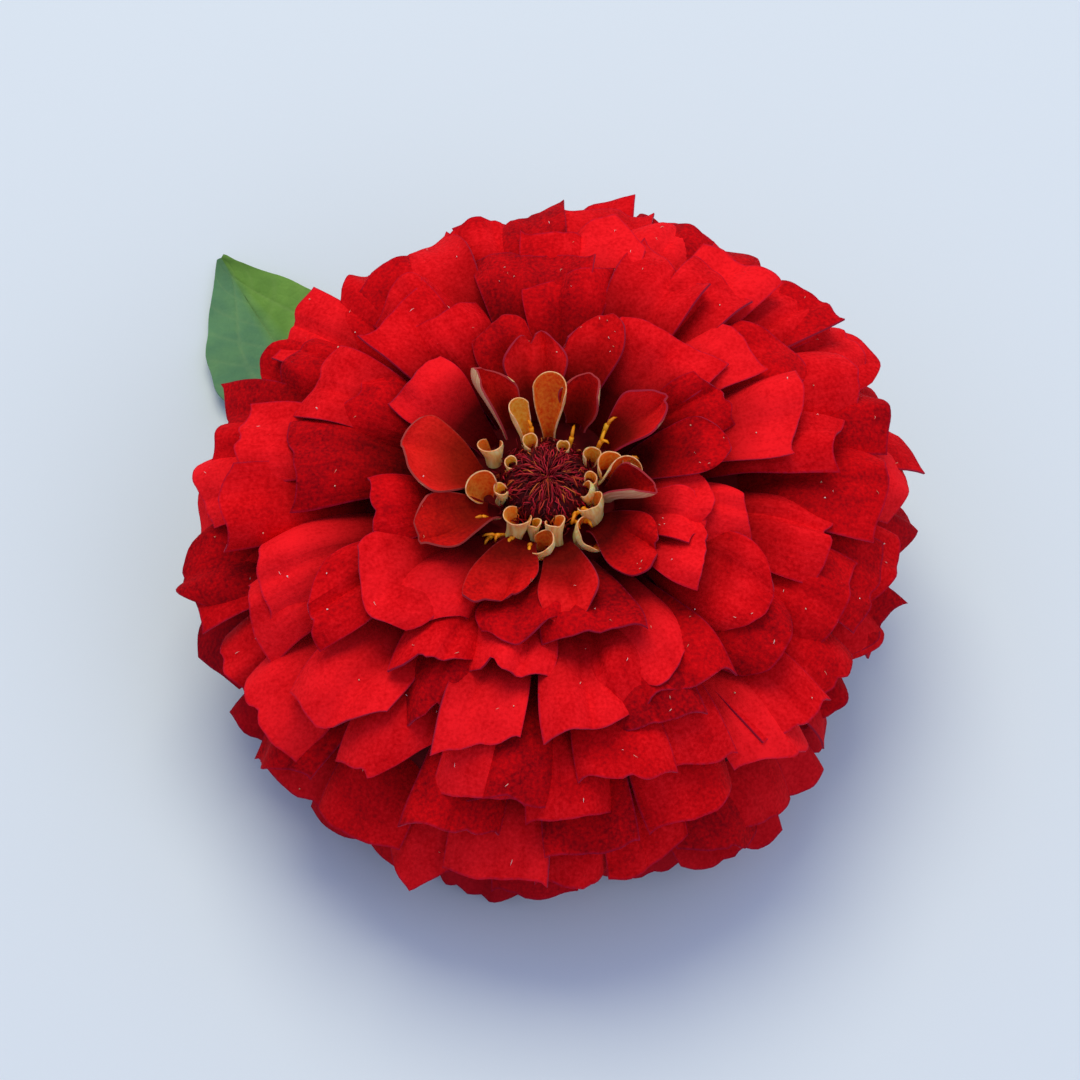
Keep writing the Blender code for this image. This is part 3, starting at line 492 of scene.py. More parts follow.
# the margin line: partly its own purple, partly painted highlight on its hairs, broken up by the
# grain
hairy = add("Math", grain, 1.6, -0.35, operation="MULTIPLY_ADD")
margin_colour_and_highlight = add("Math", margin, hairy)
line = add("Mix", youth, "#74183c", "#d87838")
red = add("Mix", margin_colour_and_highlight, red, line)
coat(face, red, add("Math", veins, 2.0, grain, operation="MULTIPLY_ADD"), 0.55, 0.00012)

# The under side: duller and paler, with whitish lengthwise veins, tan on the young petals, and
# paled toward pink on the lowest hanging petals as painted sheen
back, add = new_material("petal under side", 0.7, 0.12, sheen=0.08, sheen_tint="#ff9098")
growth, (_, youth, low) = growth_values(add)
veins = lengthwise_veins(add, growth, 22.0, 2.5)
tint = add("ValToRGB", veins, (0.3, "#7c0c18"), (0.8, "#a82a34"))
# painted sheen: the lowest hanging petals' undersides paled toward whitish pink
sheen_paled_back = add("ValToRGB", veins, (0.3, "#741828"), (0.75, "#b8606a"))
tint = add("Mix", low, tint, sheen_paled_back)
buff = add("ValToRGB", veins, (0.3, "#cc9058"), (0.8, "#f4dca8"))
paled = add("Math", youth, 4.0)
paled = add("Math", paled, 1.0, 0.2, operation="SMOOTH_MIN")
coat(back, add("Mix", paled, tint, buff), veins, 0.4, 0.00012)

# The margin: an edge a quarter of a millimetre thick, crimson, and golden on the young petals
rim, add = new_material("petal margin", 0.7, 0.1, sheen=0.12, sheen_tint="#ffa0c8")
_, (_, youth, _) = growth_values(add)
golden = add("Math", youth, youth)
coat(rim, add("Mix", golden, "#a01430", "#f0a860"))

ROW_ENDS = (38, 58, 84)
groups = {"crown_petals": [], "shoulder_petals": [], "side_petals": [], "skirt_petals": []}
for number, ray in enumerate(RAYS):
    own_tone = random.Random(90 + number).random()
    own_youth = YOUTH[number] if number < len(YOUTH) else 0.0
    own_low = keyed(ray[1], (85, 0.0), (115, 1.0))
    blade = grown_blade(
        f"petal {number}", PETAL_COLUMNS, PETAL_ROWS,
        lambda u, v: to_place(petal_points(number, ray, u, v)), (own_tone, own_youth, own_low),
    )
    groups[list(groups)[np.searchsorted(ROW_ENDS, ray[1])]].append(blade)
for name, blades in groups.items():
    petals = joined(name, blades, PETAL_THICKNESS)
    finish_piece(petals, "ray_florets", "petal_red", face, back, rim)

# ---- young petals ----
# The newest petals, still rolled round the disc as tubes, spoons and hooded cups: soft petal
# tissue, orange to ochre inside and cream outside. They grow from one ring round the disc.

YOUNG_PETALS = (  # azimuth, mouth radius and height, base radius, width, roll, facing, hood, red
    (114, 5.6, 22.8, 5.3, 4.4, 335, 0, 0.4, 0), (66, 4.9, 22.5, 4.9, 3.6, 335, 20, 0.4, 0),
    (196, 6.3, 22.2, 6.1, 4.2, 340, 0, 0.3, 0), (33, 6.6, 22.8, 6, 4.6, 290, 60, 0.9, 0.1),
    (257, 6.5, 22.2, 6.9, 4.2, 335, 40, 0.3, 0), (154, 5.3, 22.2, 5.2, 3.6, 330, -20, 0.4, 0),
    (14, 8.1, 23.1, 7.6, 7, 290, 70, 0.5, 0.4), (1, 5.6, 22.4, 5.8, 3.6, 300, 40, 0.5, 0.15),
    (342, 5.4, 22.5, 5.9, 4.6, 280, 10, 0.8, 0.25), (325, 6.5, 23.2, 7.4, 6.8, 250, -10, 0.6, 0.3),
    (279, 6.6, 23.3, 7.6, 5.6, 310, 20, 0.2, 0.3), (267, 8.9, 22.9, 9.4, 7.8, 270, 75, 0.6, 0.6),
    (237, 6.4, 23.2, 7.6, 7.4, 290, 0, -0.7, 0.3), (191, 8.7, 24.2, 7.4, 7, 215, -60, 0.9, 0.5),
    (150, 8.3, 23, 7.6, 7, 290, 110, 0.2, 0.4), (306, 9.8, 22.6, 8, 8.4, 205, -80, 0.8, 0.85),
    (88, 10.9, 26.9, 6.8, 6.8, 195, -25, 0.7, 0.7), (114, 9.6, 24.8, 6.6, 4.6, 230, 25, 0.6, 0.2),
    (2, 10.2, 23.8, 7.4, 6.6, 200, 75, 0.5, 0.5),
)
TALL_PETAL = 24  # mm: those with a higher mouth are narrower at the neck
CENTRE_SHIFT = np.array([0, -0.0010, 0])
YOUNG_COLUMNS = 20
YOUNG_ROWS = 14
YOUNG_THICKNESS = 0.00013
SEAT_HEIGHT = 0.0175


def toward(turn):
    """The level direction at an azimuth in radians."""
    return np.array([cos(turn), sin(turn), 0])


def young_points(number, petal, u, v):
    """A rolled blade on a leaning axis: its edges meet at the base and open toward its mouth."""
    azimuth, mouth_radius, mouth_height, base_radius, width, roll, facing, hood, _ = petal
    habit = random.Random(70 + number)
    turn = radians(azimuth)
    base = toward(turn) * base_radius * MM + (0, 0, SEAT_HEIGHT + 0.0009)
    mouth = toward(turn) * mouth_radius * MM + (0, 0, mouth_height * MM)
    length = np.linalg.norm(mouth - base)
    axis = unit(mouth - base)
    front = toward(turn + pi + radians(facing))
    front = unit(front - axis * front.dot(axis))
    side = np.cross(front, axis)

    drop = (0.20 + habit.uniform(0.0, 0.12)) * width * MM / length
    notch = habit.choice((0, 0.3, 0.5)) * MM / length
    outline = 1.04 - drop * np.abs(u) ** 2.2 - notch * np.exp(-((u / 0.16) ** 2))
    along = v * outline
    neck = 0.34 if mouth_height > TALL_PETAL else 0.68
    half = width / 2 * MM * (neck + (1 - neck) * smooth(along / 0.80)) * (1 - 0.06 * v**4)
    angle = radians(roll) / 2 * (1.05 - 0.14 * along)
    radius = half / angle
    swing = u * angle
    forward = -np.cos(swing) * radius + 0.0005 * np.sin(pi * along)
    forward += hood * MM * np.clip((along - 0.62) / 0.38, 0, 1.3) ** 2 * np.cos(swing / 2)
    flare = 0.35 * MM * smooth((along - 0.7) / 0.3) * np.abs(u) ** 3
    sideways = np.sin(swing) * radius + np.sign(u) * flare
    up = along * length - 0.25 * hood * MM * np.clip((along - 0.7) / 0.3, 0, 1.3) ** 2
    ways = zip((up, forward, sideways), (axis, front, side))
    return CENTRE_SHIFT + base + sum(reach[:, None] * way for reach, way in ways)


# Young petal skin: the same velvet, orange-red down in the mouth and ochre at its lip
young_face, add = new_material(
    "young petal skin", 0.8, 0.06, sheen=0.06, sheen_tint="#ff9060", inside=0.5
)
_, (red_share, _, _) = growth_values(add)
near_lip, _ = margin_of_blade(add, 0.10)
fine = add("TexNoise", add("TexCoord", output="Object"), 2400.0, 3.0)
ochre = add("ValToRGB", fine, (0.3, "#ffa014"), (0.7, "#ffd058"))
warm = add("ValToRGB", fine, (0.3, "#f0440a"), (0.7, "#ff8428"))
reddened = add("Math", red_share, 1.7)
reddened = add("Math", reddened, 1.0, 0.2, operation="SMOOTH_MIN")
tint = add("Mix", reddened, ochre, warm)
pale = add("Math", near_lip, 0.6)
coat(young_face, add("Mix", pale, tint, "#f0b050"), fine, 0.3, 0.0001)

# Their outside: cream with a flush of pink and faint lengthwise ribs
young_back, add = new_material(
    "young petal outside", 0.65, 0.2, sheen=0.1, sheen_tint="#fff0d0", inside=0.5
)
growth, (red_share, _, _) = growth_values(add)
ribs = lengthwise_veins(add, growth, 14.0, 1.6)
cream = add("ValToRGB", ribs, (0.25, "#e8a850"), (0.5, "#fcd884"), (0.8, "#fff4bc"))
flush = add("ValToRGB", ribs, (0.3, "#d06a48"), (0.8, "#f0c098"))
near_lip, _ = margin_of_blade(add, 0.3)
flushed = add("Math", near_lip, red_share)
flushed = add("Math", flushed, 0.6)
coat(young_back, add("Mix", flushed, cream, flush), ribs, 0.4, 0.00012)

# Their lip: a thin edge between the two, peach where the light comes through
young_rim = mottled("young petal lip", 0.65, 0.2, 1800.0, (0.3, "#e48c50"), (0.7, "#ffcc98"))

blades = []
for number, petal in enumerate(YOUNG_PETALS):
    growth = (petal[-1], 0.3, 0.1 * number % 1)
    blades.append(grown_blade(
        f"young petal {number}", YOUNG_COLUMNS, YOUNG_ROWS,
        lambda u, v: to_place(young_points(number, petal, u, v)), growth,
    ))
young_petals = joined("young_petals", blades, YOUNG_THICKNESS)
finish_piece(young_petals, "young_rays", "young_ray_orange", young_face, young_back, young_rim)

# ---- yellow florets ----
# The fertile florets of the disc, a few already open between the young petals: waxy yellow
# tubes that split at the end into narrow lobes, which curl outward.

FLORETS = (  # azimuth and radius, mm, height of the mouth, mm, and the lobes that stand out
    (12, 10.4, 22.6, 1), (42, 9.9, 23, 1), (36, 8.2, 22, 2), (306, 5.9, 21.5, 2),
    (301, 6.4, 20.9, 1), (230, 9.6, 20.6, 2), (226, 10.2, 20, 1), (212, 9.3, 20.8, 1),
    (206, 10.2, 20.4, 1), (248, 9.6, 20.4, 2), (62, 6.4, 21.4, 1), (312, 7.2, 20.6, 1),
    (256, 9, 20.8, 1), (272, 10.6, 19.8, 2), (320, 5.9, 20.8, 1), (106, 7.2, 21.6, 1),
    (240, 9, 20.6, 1),
)
TUBE_RADII = (0.00018, 0.00020, 0.00022, 0.00025, 0.00030, 0.00030)
LOBE_RADII = (0.00022, 0.00023, 0.00018, 0.00008)


def thread(points, radii, sides):
    """The corners and faces of a closed tapering thread along a line of points."""
    points = np.asarray(points, float)
    tangents = unit(np.gradient(points, axis=0))
    across = unit(np.cross(tangents[0], (0.31, 0.17, 0.93)))
    corners, faces = [], [tuple(reversed(range(sides)))]
    for point, tangent, radius in zip(points, tangents, radii):
        across = unit(across - tangent * across.dot(tangent))
        up = np.cross(tangent, across)
        for k in range(sides):
            a = tau * k / sides
            corners.append(point + radius * (cos(a) * across + sin(a) * up))
    for i in range(len(points) - 1):
        for k in range(sides):
            a, b = i * sides + k, i * sides + (k + 1) % sides
            faces.append((a, b, b + sides, a + sides))
    last = (len(points) - 1) * sides
    faces.append(tuple(range(last, last + sides)))
    return corners, faces


def placed(name, data):
    made = bpy.data.objects.new(name, data)
    bpy.context.scene.collection.objects.link(made)
    return made


def bundle(name, threads):
    """One mesh of many threads, its faces outward, with each thread's own tint number."""
    corners, faces, tints = [], [], []
    for number, (some, their_faces) in enumerate(threads):
        shift = len(corners)
        corners += [tuple(c) for c in some]
        faces += [tuple(i + shift for i in face) for face in their_faces]
        tints += [random.Random(number).random()] * len(some)
    mesh = bpy.data.meshes.new(name)
    mesh.from_pydata(corners, [], faces)
    piece = placed(name, mesh)
    mesh.attributes.new("own tint", "FLOAT", "POINT").data.foreach_set("value", tints)
    deselect()
    piece.select_set(True)
    bpy.context.view_layer.objects.active = piece
    face_outward()
    mesh.shade_smooth()
    return piece


def thread_material(name, roughness, specular, *stops):
    """A material that gives each thread of a bundle its own shade between the stops."""
    made, add = new_material(name, roughness, specular)
    own = add("Attribute", output="Fac", attribute_name="own tint")
    coat(made, add("ValToRGB", own, *stops))
    return made


threads = []
draw = random.Random(31)
for azimuth, radius, height, lobes in FLORETS:
    turn = radians(azimuth)
    foot = CENTRE_SHIFT + toward(turn) * radius * 0.86 * MM + (0, 0, SEAT_HEIGHT + 0.0012)
    mouth = CENTRE_SHIFT + toward(turn) * radius * MM + (0, 0, height * MM)
    tube = [foot + (mouth - foot) * s for s in np.linspace(0, 1, len(TUBE_RADII))]
    threads.append(thread(tube, TUBE_RADII, 8))
    for lobe in range(lobes):
        way = toward(turn + (lobe - (lobes - 1) / 2) * 1.5 + draw.uniform(-0.3, 0.3))
        reach = draw.uniform(0.8, 1.6) * MM
        curl = [mouth - (0, 0, 0.0004)]
        for share, lift in ((0.35, 0.00045), (0.8, 0.00050), (1.15, 0.0001)):
            curl.append(mouth + way * reach * share + (0, 0, lift))
        threads.append(thread(curl, LOBE_RADII, 6))
florets = bundle("yellow_florets", threads)
reshape(florets, to_place)
# Waxy floret: smooth enough for a soft gloss, golden yellow and a little darker on some
yellows = (0.0, "#d87808"), (0.6, "#fa9c0c"), (1.0, "#ffb820")
waxy = thread_material("waxy yellow floret", 0.5, 0.3, *yellows)
finish_piece(florets, "young_rays", "young_ray_orange", waxy)

# ---- disc ----
# The middle of the head: a low mound of papery scales with fringed crimson tips that curl in over
# the buds of the florets, round a sunken eye, dark in part from painted shade. Mound and fringe
# are one growth.

profile = [(0, 0.0198), (0.0006, 0.0200), (0.0014, 0.0212), (0.0026, 0.0218), (0.0038, 0.0217)]
profile += [(0.0048, 0.0209), (0.0054, 0.0198), (0.0057, 0.0179), (0, 0.0179)]
mound = turned("disc_mound", profile, 40)
reshape(mound, lambda points: to_place(points + CENTRE_SHIFT))
# Papery chaff: dry maroon scales, near black partly as painted shade between the fringes
maroon_and_shade = (0.35, "#240309"), (0.7, "#5c0810")
papery = mottled("papery chaff and painted shade", 0.7, 0.1, 1500.0, *maroon_and_shade, strength=0.6, depth=0.0003)
finish_piece(mound, "disc_chaff", "chaff_maroon", papery)

FRINGE_COUNT = 640
FRINGE_REACH = 6.4  # mm from the middle of the disc, as the heights are
FRINGE_HEIGHTS = (
    (0, 19.8), (1.4, 21.2), (2.6, 21.8), (3.8, 21.7), (4.8, 20.9), (5.7, 19.6), (6.3, 18.6)
)
GOLDEN_ANGLE = 2.39996
FRINGE_CURVE = (  # share of the curl inward, of the swing, of the wiggle and of the lift
    (0.1, 0, 1, 0.6), (0.45, 0.4, -1, 0.95), (0.85, 0.9, 1, 1.05), (1.15, 1.5, -1, 0.85)
)
threads = []
draw = random.Random(17)
for number in range(FRINGE_COUNT):
    share = sqrt((number + 3) / (FRINGE_COUNT + 3))
    turn = number * GOLDEN_ANGLE + draw.uniform(-0.25, 0.25)
    outward, sideways = toward(turn), toward(turn + pi / 2)
    radius = FRINGE_REACH * share
    root = outward * radius + (0, 0, keyed(radius, *FRINGE_HEIGHTS) - 0.3)
    inward = draw.uniform(0.8, 2.3) * keyed(share, (0, 0.4), (0.5, 1.0), (0.8, 0.7), (1, -0.5))
    swing = draw.gauss(0, 0.5) * keyed(share, (0, 0.08), (0.45, 0.25), (1, 1.1))
    wiggle = draw.gauss(0, 0.14) * share
    lift = draw.uniform(0.5, 1.5)
    line = [root]
    for curl, swung, bent, raised in FRINGE_CURVE:
        drift = sideways * (swing * swung + wiggle * bent)
        line.append(root - outward * inward * curl + drift + (0, 0, lift * raised))
    points = np.array(line) * MM + CENTRE_SHIFT
    threads.append(thread(points, (0.00010, 0.00009, 0.00008, 0.00006, 0.00002), 4))
fringe = bundle("chaff_fringe", threads)
reshape(fringe, to_place)
# Fringed chaff: silky threads from maroon to crimson, a few with a pollen-orange tip
crimsons = (0.0, "#4c0308"), (0.5, "#980a18"), (0.82, "#c81a34")
oranges = (0.94, "#c8481c"), (1.0, "#e08030")
fringed = thread_material("fringed crimson chaff", 0.6, 0.25, *crimsons, *oranges)
finish_piece(fringe, "disc_chaff", "chaff_maroon", fringed)

# ---- petal hairs and grit ----
# Loose short white hairs and grains of pollen and dust that lie on the velvet of the petals:
# threads a few hundredths of a millimetre thick, drawn about twice as thick so that they show.

HAIR_COUNT = 260
LIFTED = 0.00006
threads = []
draw = random.Random(77)
for number in range(HAIR_COUNT):
    chosen = draw.randrange(4, 150)
    u, v = draw.uniform(-0.8, 0.8), draw.uniform(0.68, 0.97)
    heading = draw.uniform(-pi, pi)
    grit = number % 4 == 0
    size = 0.012 if grit else draw.uniform(0.02, 0.06)
    near = np.array([0.0, 0.02, 0.5, 1.0]) * size
    across, along = u + near * cos(heading) * 1.6, v + near * sin(heading) * 0.4
    across[1], along[1] = u + 0.02, v
    across, along = np.append(across, u), np.append(along, v + 0.02)
    spots = to_place(petal_points(chosen, RAYS[chosen], across, along))
    away = np.cross(spots[4] - spots[0], spots[1] - spots[0])
    away /= copysign(np.linalg.norm(away), away[2])
    thick = draw.uniform(0.00006, 0.00011) if grit else draw.uniform(0.000025, 0.00004)
    bow = draw.uniform(0.0, 0.00025)
    line = [spots[0] + away * LIFTED, spots[2] + away * (0.00010 + bow), spots[3] + away * 0.00008]
    threads.append(thread(line, (thick, thick, thick * (0.8 if grit else 0.3)), 4))
# Chalky: dull white, warmer where it is pollen
whites = (0.0, "#d8906c"), (0.5, "#f0c8b0"), (1.0, "#fff4ea")
chalky = thread_material("chalky hair and pollen", 0.6, 0.3, *whites)
finish_piece(bundle("petal_hairs", threads), "ray_florets", "petal_red", chalky)

# ---- involucre ----
# The green cup that holds the head from below: three rows of leathery bracts that overlap like
# scales, each with a round tip and a thin blackish margin. They grow from the stem's top.

CUP_TOP = -0.0078
CUP_BOTTOM = -0.0140
CUP_RADIUS = 0.0108
STEM_RADIUS = 0.0024
CUP_FOOT = STEM_RADIUS + 0.0006
BRACT_ROWS = ((8, 0.0040, 0.40, 0.98), (7, 0.0036, 0.10, 0.74), (6, 0.0029, 0.02, 0.50))
BRACT_THICKNESS = 0.00045
BRACT_GRID = 14


def cup_point(share, lift=0.0):
    """Radius and height on the outside of the cup, from its foot (0) to its brim (1)."""
    angle = share * pi / 2
    radius = CUP_FOOT + (CUP_RADIUS - CUP_FOOT) * np.sin(angle)
    height = CUP_BOTTOM + (CUP_TOP - CUP_BOTTOM) * (1 - np.cos(angle))
    return radius + lift * np.sin(angle), height - lift * np.cos(angle)


def bract_points(turn, half_width, first, last, raised, u, v):
    """A bract laid on the cup: wide and round at its tip, hollowed a little lengthwise."""
    along = v * (1 - 0.16 * np.abs(u) ** 2.6)
    width = half_width * (0.8 + 0.25 * np.sin(pi * np.clip(along * 0.75, 0, 1)))
    width = width * (1 - 0.42 * np.clip((v - 0.6) / 0.4, 0, 1) ** 3)
    lift = keyed(along, (0, -0.0006), (0.45, 0.0006), (0.8, 0.0009), (1.0, 0.0011))
    radius, height = cup_point(first + (last - first) * along, lift + raised * along)
    swing = turn + width * u / np.maximum(radius, 0.0036)
    return np.stack([radius * np.cos(swing), radius * np.sin(swing), height], -1)


outside = [cup_point(share) for share in (1, 0.85, 0.65, 0.4, 0.2, 0)]
cup = turned("involucre_cup", [(0, CUP_TOP)] + outside + [(0, CUP_BOTTOM)], 40)
reshape(cup, to_place)
# Cup tissue: plain dull green flesh under the bracts
green_cup = mottled("cup tissue", 0.6, 0.25, 700.0, (0.3, "#3a5a22"), (0.7, "#5c8034"))
finish_piece(cup, "involucre", "bract_green", green_cup)

# Bract: leathery and slightly waxy, mid green with fine ribs, brown-black in a thin tip band
leathery, add = new_material("leathery bract", 0.5, 0.35)
growth = growth_values(add)[0]
ribs = lengthwise_veins(add, growth, 18.0, 2.0)
near_edge, up_blade = margin_of_blade(add, 0.16)
tint = add("ValToRGB", ribs, (0.3, "#4c7028"), (0.75, "#86a84c"))
near_foot = add("ValToRGB", up_blade, (0.0, "#ffffff"), (0.5, "#000000"))
tint = add("Mix", near_foot, tint, "#a8bc78")
band = add("ValToRGB", near_edge, (0.25, "#000000"), (0.7, "#ffffff"))
coat(leathery, add("Mix", band, tint, "#2c1a12"), ribs, 0.4, 0.00015)
blades = []
draw = random.Random(11)
for row, (count, half_width, first, last) in enumerate(BRACT_ROWS):
    for number in range(count):
        turn = tau * (number + draw.uniform(-0.1, 0.1)) / count + 0.4 * row
        raised = 0.0003 * row + 0.0004 * (number % 2) + draw.uniform(0, 0.0002)
        blades.append(grown_blade(
            f"bract {row} {number}", BRACT_GRID, BRACT_GRID,
            lambda u, v: to_place(bract_points(turn, half_width, first, last, raised, -u, v)),
            (draw.random(), 0.0, 0.0),
        ))
bracts = joined("involucre_bracts", blades, BRACT_THICKNESS)
finish_piece(bracts, "involucre", "bract_green", leathery, leathery, leathery)

# ---- stem ----
# The cut flower stalk: a firm ribbed green stem with short stiff hairs and a slanted pale cut,
# which drops from the cup, bends once, and lies along the surface to the leaf.

BELOW_CUP = 0.0003
STEM_LIES_FROM = (-0.0042, 0.0105)
STEM_PULLS = ((-0.0110, 0.0225), (-0.0190, 0.0258))
STEM_END = (-0.0290, 0.0276)
STEM_AROUND = 40
RIBS = 9


def stem_path():
    """From just under the cup, down and back in one bend, then along the surface."""
    top = to_place(np.array([0, 0, CUP_BOTTOM - BELOW_CUP])) - HEAD_PLACE
    lying = [np.array([*spot, STEM_RADIUS]) for spot in (STEM_LIES_FROM, *STEM_PULLS, STEM_END)]
    heading = unit(lying[1] - lying[0])
    down = np.array([0, sin(HEAD_TILT), -cos(HEAD_TILT)])
    bend = (top, top + 0.0032 * down, lying[0] - 0.0050 * heading, lying[0])
    bend = bezier(bend, np.linspace(0, 1, 22))[:-1]
    return np.concatenate([bend, bezier(lying, np.linspace(0, 1, 40))]) + HEAD_PLACE


path = stem_path()
last_step = len(path) - 1
tangents = unit(np.gradient(path, axis=0))
side = np.array([tangents[-1][1], -tangents[-1][0], 0])
frames = []
for tangent in tangents[::-1]:
    side = unit(side - tangent * side.dot(tangent))
    frames.append((side, np.cross(side, tangent)))
frames.reverse()


def stem_surface(step, angle):
    """A point on the ribbed stem at a step of its path, and the way out of it there."""
    side, up = frames[step]
    ribbed = STEM_RADIUS * 0.965 * (1 + 0.035 * cos(RIBS * angle))
    slant = tangents[step] * STEM_RADIUS * 0.45 * sin(angle) if step == last_step else 0
    out = cos(angle) * side + sin(angle) * up
    return path[step] + out * ribbed - slant, out


deselect()
bpy.ops.mesh.primitive_cylinder_add(
    vertices=STEM_AROUND, radius=STEM_RADIUS, depth=1, end_fill_type="NGON"
)
stem = bpy.context.object
stem.name = "flower_stem"
bpy.ops.object.mode_set(mode="EDIT")
for step in range(1, last_step):
    bpy.ops.mesh.select_all(action="SELECT")
    bpy.ops.mesh.bisect(plane_co=(0, 0, step / last_step - 0.5), plane_no=(0, 0, 1))
bpy.ops.object.mode_set(mode="OBJECT")
for vertex in stem.data.vertices:
    step = round((vertex.co.z + 0.5) * last_step)
    vertex.co = stem_surface(step, atan2(vertex.co.y, vertex.co.x))[0]
sunk = min(0.0, min(v.co.z for v in stem.data.vertices))
reshape(stem, lambda points: points - (0, 0, sunk))
face_outward()
bpy.ops.object.shade_smooth_by_angle(angle=radians(45))

# Stem skin: waxy green with a soft gloss and fine fibres in paler and darker streaks
stem_skin = mottled(
    "ribbed stem skin", 0.5, 0.35, 900.0, (0.3, "#5d7a30"), (0.5, "#7f9a44"), (0.75, "#9ab45e"),
    strength=0.4, depth=0.0002, detail=4.0,
)
# Cut end: pale moist pith, a little glossy
pith = mottled("cut stem pith", 0.45, 0.4, 2500.0, (0.3, "#b9bf86"), (0.7, "#dfe0b4"))
finish_piece(stem, "stem", "stem_green", stem_skin, pith)
for facet in stem.data.polygons:
    at_end = (facet.center - Vector(path[-1])).length < STEM_RADIUS / 2
    facet.material_index = int(at_end and len(facet.vertices) > 4)

STEM_HAIR_COUNT = 520
threads = []
draw = random.Random(9)
for number in range(STEM_HAIR_COUNT):
    step = draw.randrange(2, last_step - 1)
    spot, out = stem_surface(step, draw.uniform(-pi, pi))
    tip = spot + (out + tangents[step] * draw.uniform(-0.5, 0.5)) * draw.uniform(0.0006, 0.0012)
    if tip[2] > 0.0002:
        line = [spot - out * 0.0001, (spot + tip) / 2, tip]
        threads.append(thread(line, (0.00006, 0.00004, 0.00001), 3))
# Stiff hair: translucent and shiny in life, drawn nearly white
hair = thread_material("stiff plant hair", 0.4, 0.4, (0.0, "#c2cfa0"), (1.0, "#e9eedb"))
finish_piece(bundle("stem_hairs", threads), "stem", "stem_green", hair)

# ---- leaf ----
# The leaf that grows at the stem's cut end: a soft oval blade with a drawn-out tip, folded along
# its midrib, with curved side veins and a slightly wavy margin. It lies on the surface.

LEAF_BASE = np.array([-0.0280, 0.0309, 0.0042])
LEAF_TIP = np.array([-0.0463, 0.0602, 0.0052])
LEAF_HALF_WIDTH = 0.0116
LEAF_OUTLINE = (  # how far up the leaf, and its width there
    (0, 0.16), (0.1, 0.55), (0.2, 0.82), (0.35, 0.99),
    (0.45, 1.0), (0.6, 0.86), (0.8, 0.47), (1, 0.03),
)
LEAF_THICKNESS = 0.0004
LEAF_COLUMNS = 48
LEAF_ROWS = 90
SIDE_VEINS = 8

chord = LEAF_TIP - LEAF_BASE
pulls = (
    LEAF_BASE + chord * 0.33 + (0.0, -0.0006, -0.0012), LEAF_BASE + chord * 0.70 + (0, 0, -0.0034)
)
forward = unit(chord[:2])


def vein_relief(u, s):
    """How near a place is to a main vein: three run the length, the others branch from them."""
    mid = np.exp(-((u / 0.035) ** 2))
    arch = 0.52 * np.sin(pi * np.clip(s / 0.92, 0, 1)) ** 0.7
    pair = np.exp(-(((np.abs(u) - arch) / 0.030) ** 2)) * smooth(s / 0.1)
    branch = (s - 0.20 * np.abs(u)) * SIDE_VEINS
    cross = np.exp(-(((branch - np.round(branch)) / 0.075) ** 2)) * 0.45
    return np.maximum(np.maximum(mid, 0.75 * pair), cross * (np.abs(u) < 0.97))


def leaf_points(u, v):
    """The leaf's blade: folded up from its midrib, waved at its margin, quilted by its veins."""
    middle = bezier((LEAF_BASE, *pulls, LEAF_TIP), v)
    half = LEAF_HALF_WIDTH * keyed(v, *LEAF_OUTLINE)
    round_about = (keyed(np.clip(v + step, 0, 1), *LEAF_OUTLINE) for step in (0.04, -0.04))
    softer = LEAF_HALF_WIDTH * sum(round_about) * 0.5
    half = (half + np.where(v < 0.96, softer, half)) / 2
    edge = np.abs(u)
    lift = 0.26 * half * edge - 0.10 * half * u * u + 0.0005 * u * np.sin(9 * v) * edge
    lift += 0.00025 * np.sin(26 * v + 2 * u) * edge**2 * smooth(v / 0.1)
    lift += 0.00016 * (1 - vein_relief(u, v)) * (1 - edge**6)
    out = half * u * (1 + 0.012 * np.sin(34 * v) * edge**3)
    x, y = middle[:, 0] + forward[1] * out, middle[:, 1] - forward[0] * out
    return np.stack([x, y, middle[:, 2] + lift], -1) + HEAD_PLACE


blade = grown_blade("leaf blade", LEAF_COLUMNS, LEAF_ROWS, leaf_points, (0.5, 0.0, 0.0))
relief = np.zeros(len(blade.data.vertices))
for corner, spot in zip(blade.data.loops, blade.data.uv_layers["UVMap"].data):
    relief[corner.vertex_index] = vein_relief(spot.uv[0] * 2 - 1, spot.uv[1])
blade.data.attributes.new("vein", "FLOAT", "POINT").data.foreach_set("value", relief)
leaf = joined("leaf_blade", [blade], LEAF_THICKNESS)
lowest = min(v.co.z for v in leaf.data.vertices)
reshape(leaf, lambda points: points - (0, 0, lowest))

# Leaf skin: matt with short hairs, veins paler, and a fine quilted mesh of small veins; its two
# halves carry painted light, blue-green as lit by the sky on one and yellow-green as lit by the
# lamp on the other
leaf_skin, add = new_material("rough leaf skin", 0.65, 0.2, sheen=0.1, sheen_tint="#d8f0d0")
vein = add("Attribute", output="Fac", attribute_name="vein")
place = add("TexCoord", output="Object")
across, up_blade, _ = add("SeparateXYZ", add("UVMap", uv_map="UVMap")).node.outputs
mottle = add("TexNoise", place, 300.0, 4.0)
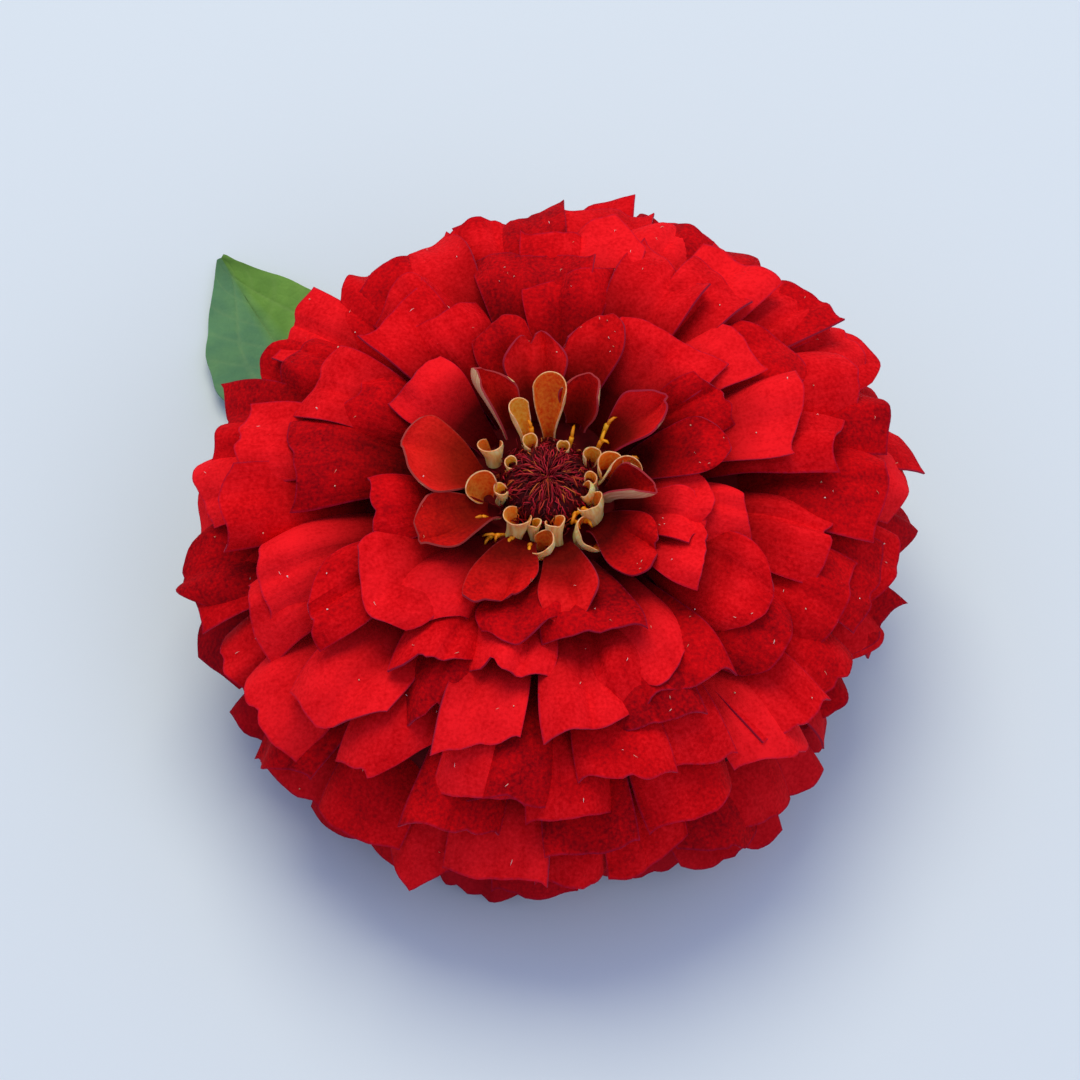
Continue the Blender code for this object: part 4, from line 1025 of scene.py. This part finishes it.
# painted light: one half of the leaf coloured as sky-lit, the other as lamp-lit
sky_lit_green = add("ValToRGB", mottle, (0.3, "#52805a"), (0.7, "#62905e"))
lamp_lit_green = add("ValToRGB", mottle, (0.3, "#5f8a34"), (0.7, "#74a040"))
painted_light_half = add("ValToRGB", across, (0.40, "#000000"), (0.58, "#ffffff"))
tint = add("Mix", painted_light_half, lamp_lit_green, sky_lit_green)
near_tip = add("ValToRGB", up_blade, (0.86, "#000000"), (1.0, "#a0a0a0"))
tint = add("Mix", near_tip, tint, "#3e5a26")
veined = add("Math", vein, 0.16)
tint = add("Mix", veined, tint, "#a8bc78")
cells = add("TexVoronoi", place, 900.0, feature="DISTANCE_TO_EDGE")
quilt = add("Math", cells, 0.25, 0.1, operation="SMOOTH_MIN")
coat(leaf_skin, tint, quilt, 0.5, 0.0002)
# Its under side: paler, dull, with the veins standing out
leaf_back, add = new_material("leaf under side", 0.75, 0.15)
vein = add("Attribute", output="Fac", attribute_name="vein")
mottle = add("TexNoise", add("TexCoord", output="Object"), 300.0, 3.0)
tint = add("ValToRGB", mottle, (0.3, "#71935c"), (0.7, "#86a86e"))
veined = add("Math", vein, 0.6)
coat(leaf_back, add("Mix", veined, tint, "#b9c894"), vein, 0.7, 0.0003)
finish_piece(leaf, "leaf", "leaf_green", leaf_back, leaf_skin, leaf_skin)

# ---- floor, light and camera ----
# A pale bluish-white table top, a broad soft light from the back left, a weaker one from the
# front right, and a cool room round it.

TABLE_SIZE = 3.0
deselect()
bpy.ops.mesh.primitive_plane_add(size=TABLE_SIZE)
table = bpy.context.object
table.name = "table_top"
# Matt painted board: even, without gloss
board, _ = new_material("matt table top", 0.85, specular=0.1)
board.node_tree.nodes["Principled BSDF"].inputs["Base Color"].default_value = linear("#e0e7ee")
table.data.materials.append(board)

room = bpy.data.worlds.new("room")
bpy.context.scene.world = room
room.use_nodes = True
room_light = room.node_tree.nodes["Background"].inputs
room_light["Color"].default_value = (0.52, 0.60, 0.90, 1)
room_light["Strength"].default_value = 0.72

head = Vector(HEAD_PLACE) + Vector((0, 0, HEAD_LIFT))


def soft_light(name, place, size, power, color):
    """A round lamp of a size and power, at a place from the head, turned to the head."""
    lamp = bpy.data.lights.new(name, "AREA")
    lamp.shape = "DISK"
    lamp.size = size
    lamp.energy = power
    lamp.color = color
    holder = placed(name, lamp)
    holder.location = head + Vector(place)
    holder.rotation_euler = (-Vector(place)).to_track_quat("-Z", "Y").to_euler()


soft_light("window light", (-0.14, 0.62, 1.30), size=1.0, power=11.8, color=(1.0, 0.96, 0.64))
soft_light("room light", (0.75, -0.70, 1.10), size=1.2, power=3.4, color=(0.90, 0.94, 1.0))

CAMERA_ELEVATION = radians(58)
CAMERA_DISTANCE = 0.45
MM_ACROSS_VIEW = 1080 / 7.78
camera = bpy.data.cameras.new("camera")
holder = placed("camera", camera)
toward_camera = Vector((0, -cos(CAMERA_ELEVATION), sin(CAMERA_ELEVATION)))
screen_up = Vector((0, sin(CAMERA_ELEVATION), cos(CAMERA_ELEVATION)))
aim = head + Vector((-0.0009, 0, 0)) + screen_up * 0.0006
holder.location = aim + toward_camera * CAMERA_DISTANCE
holder.rotation_euler = (-toward_camera).to_track_quat("-Z", "Y").to_euler()
camera.lens = camera.sensor_width * CAMERA_DISTANCE * 1000 / MM_ACROSS_VIEW
bpy.context.scene.camera = holder
bpy.context.scene.view_settings.view_transform = "Standard"
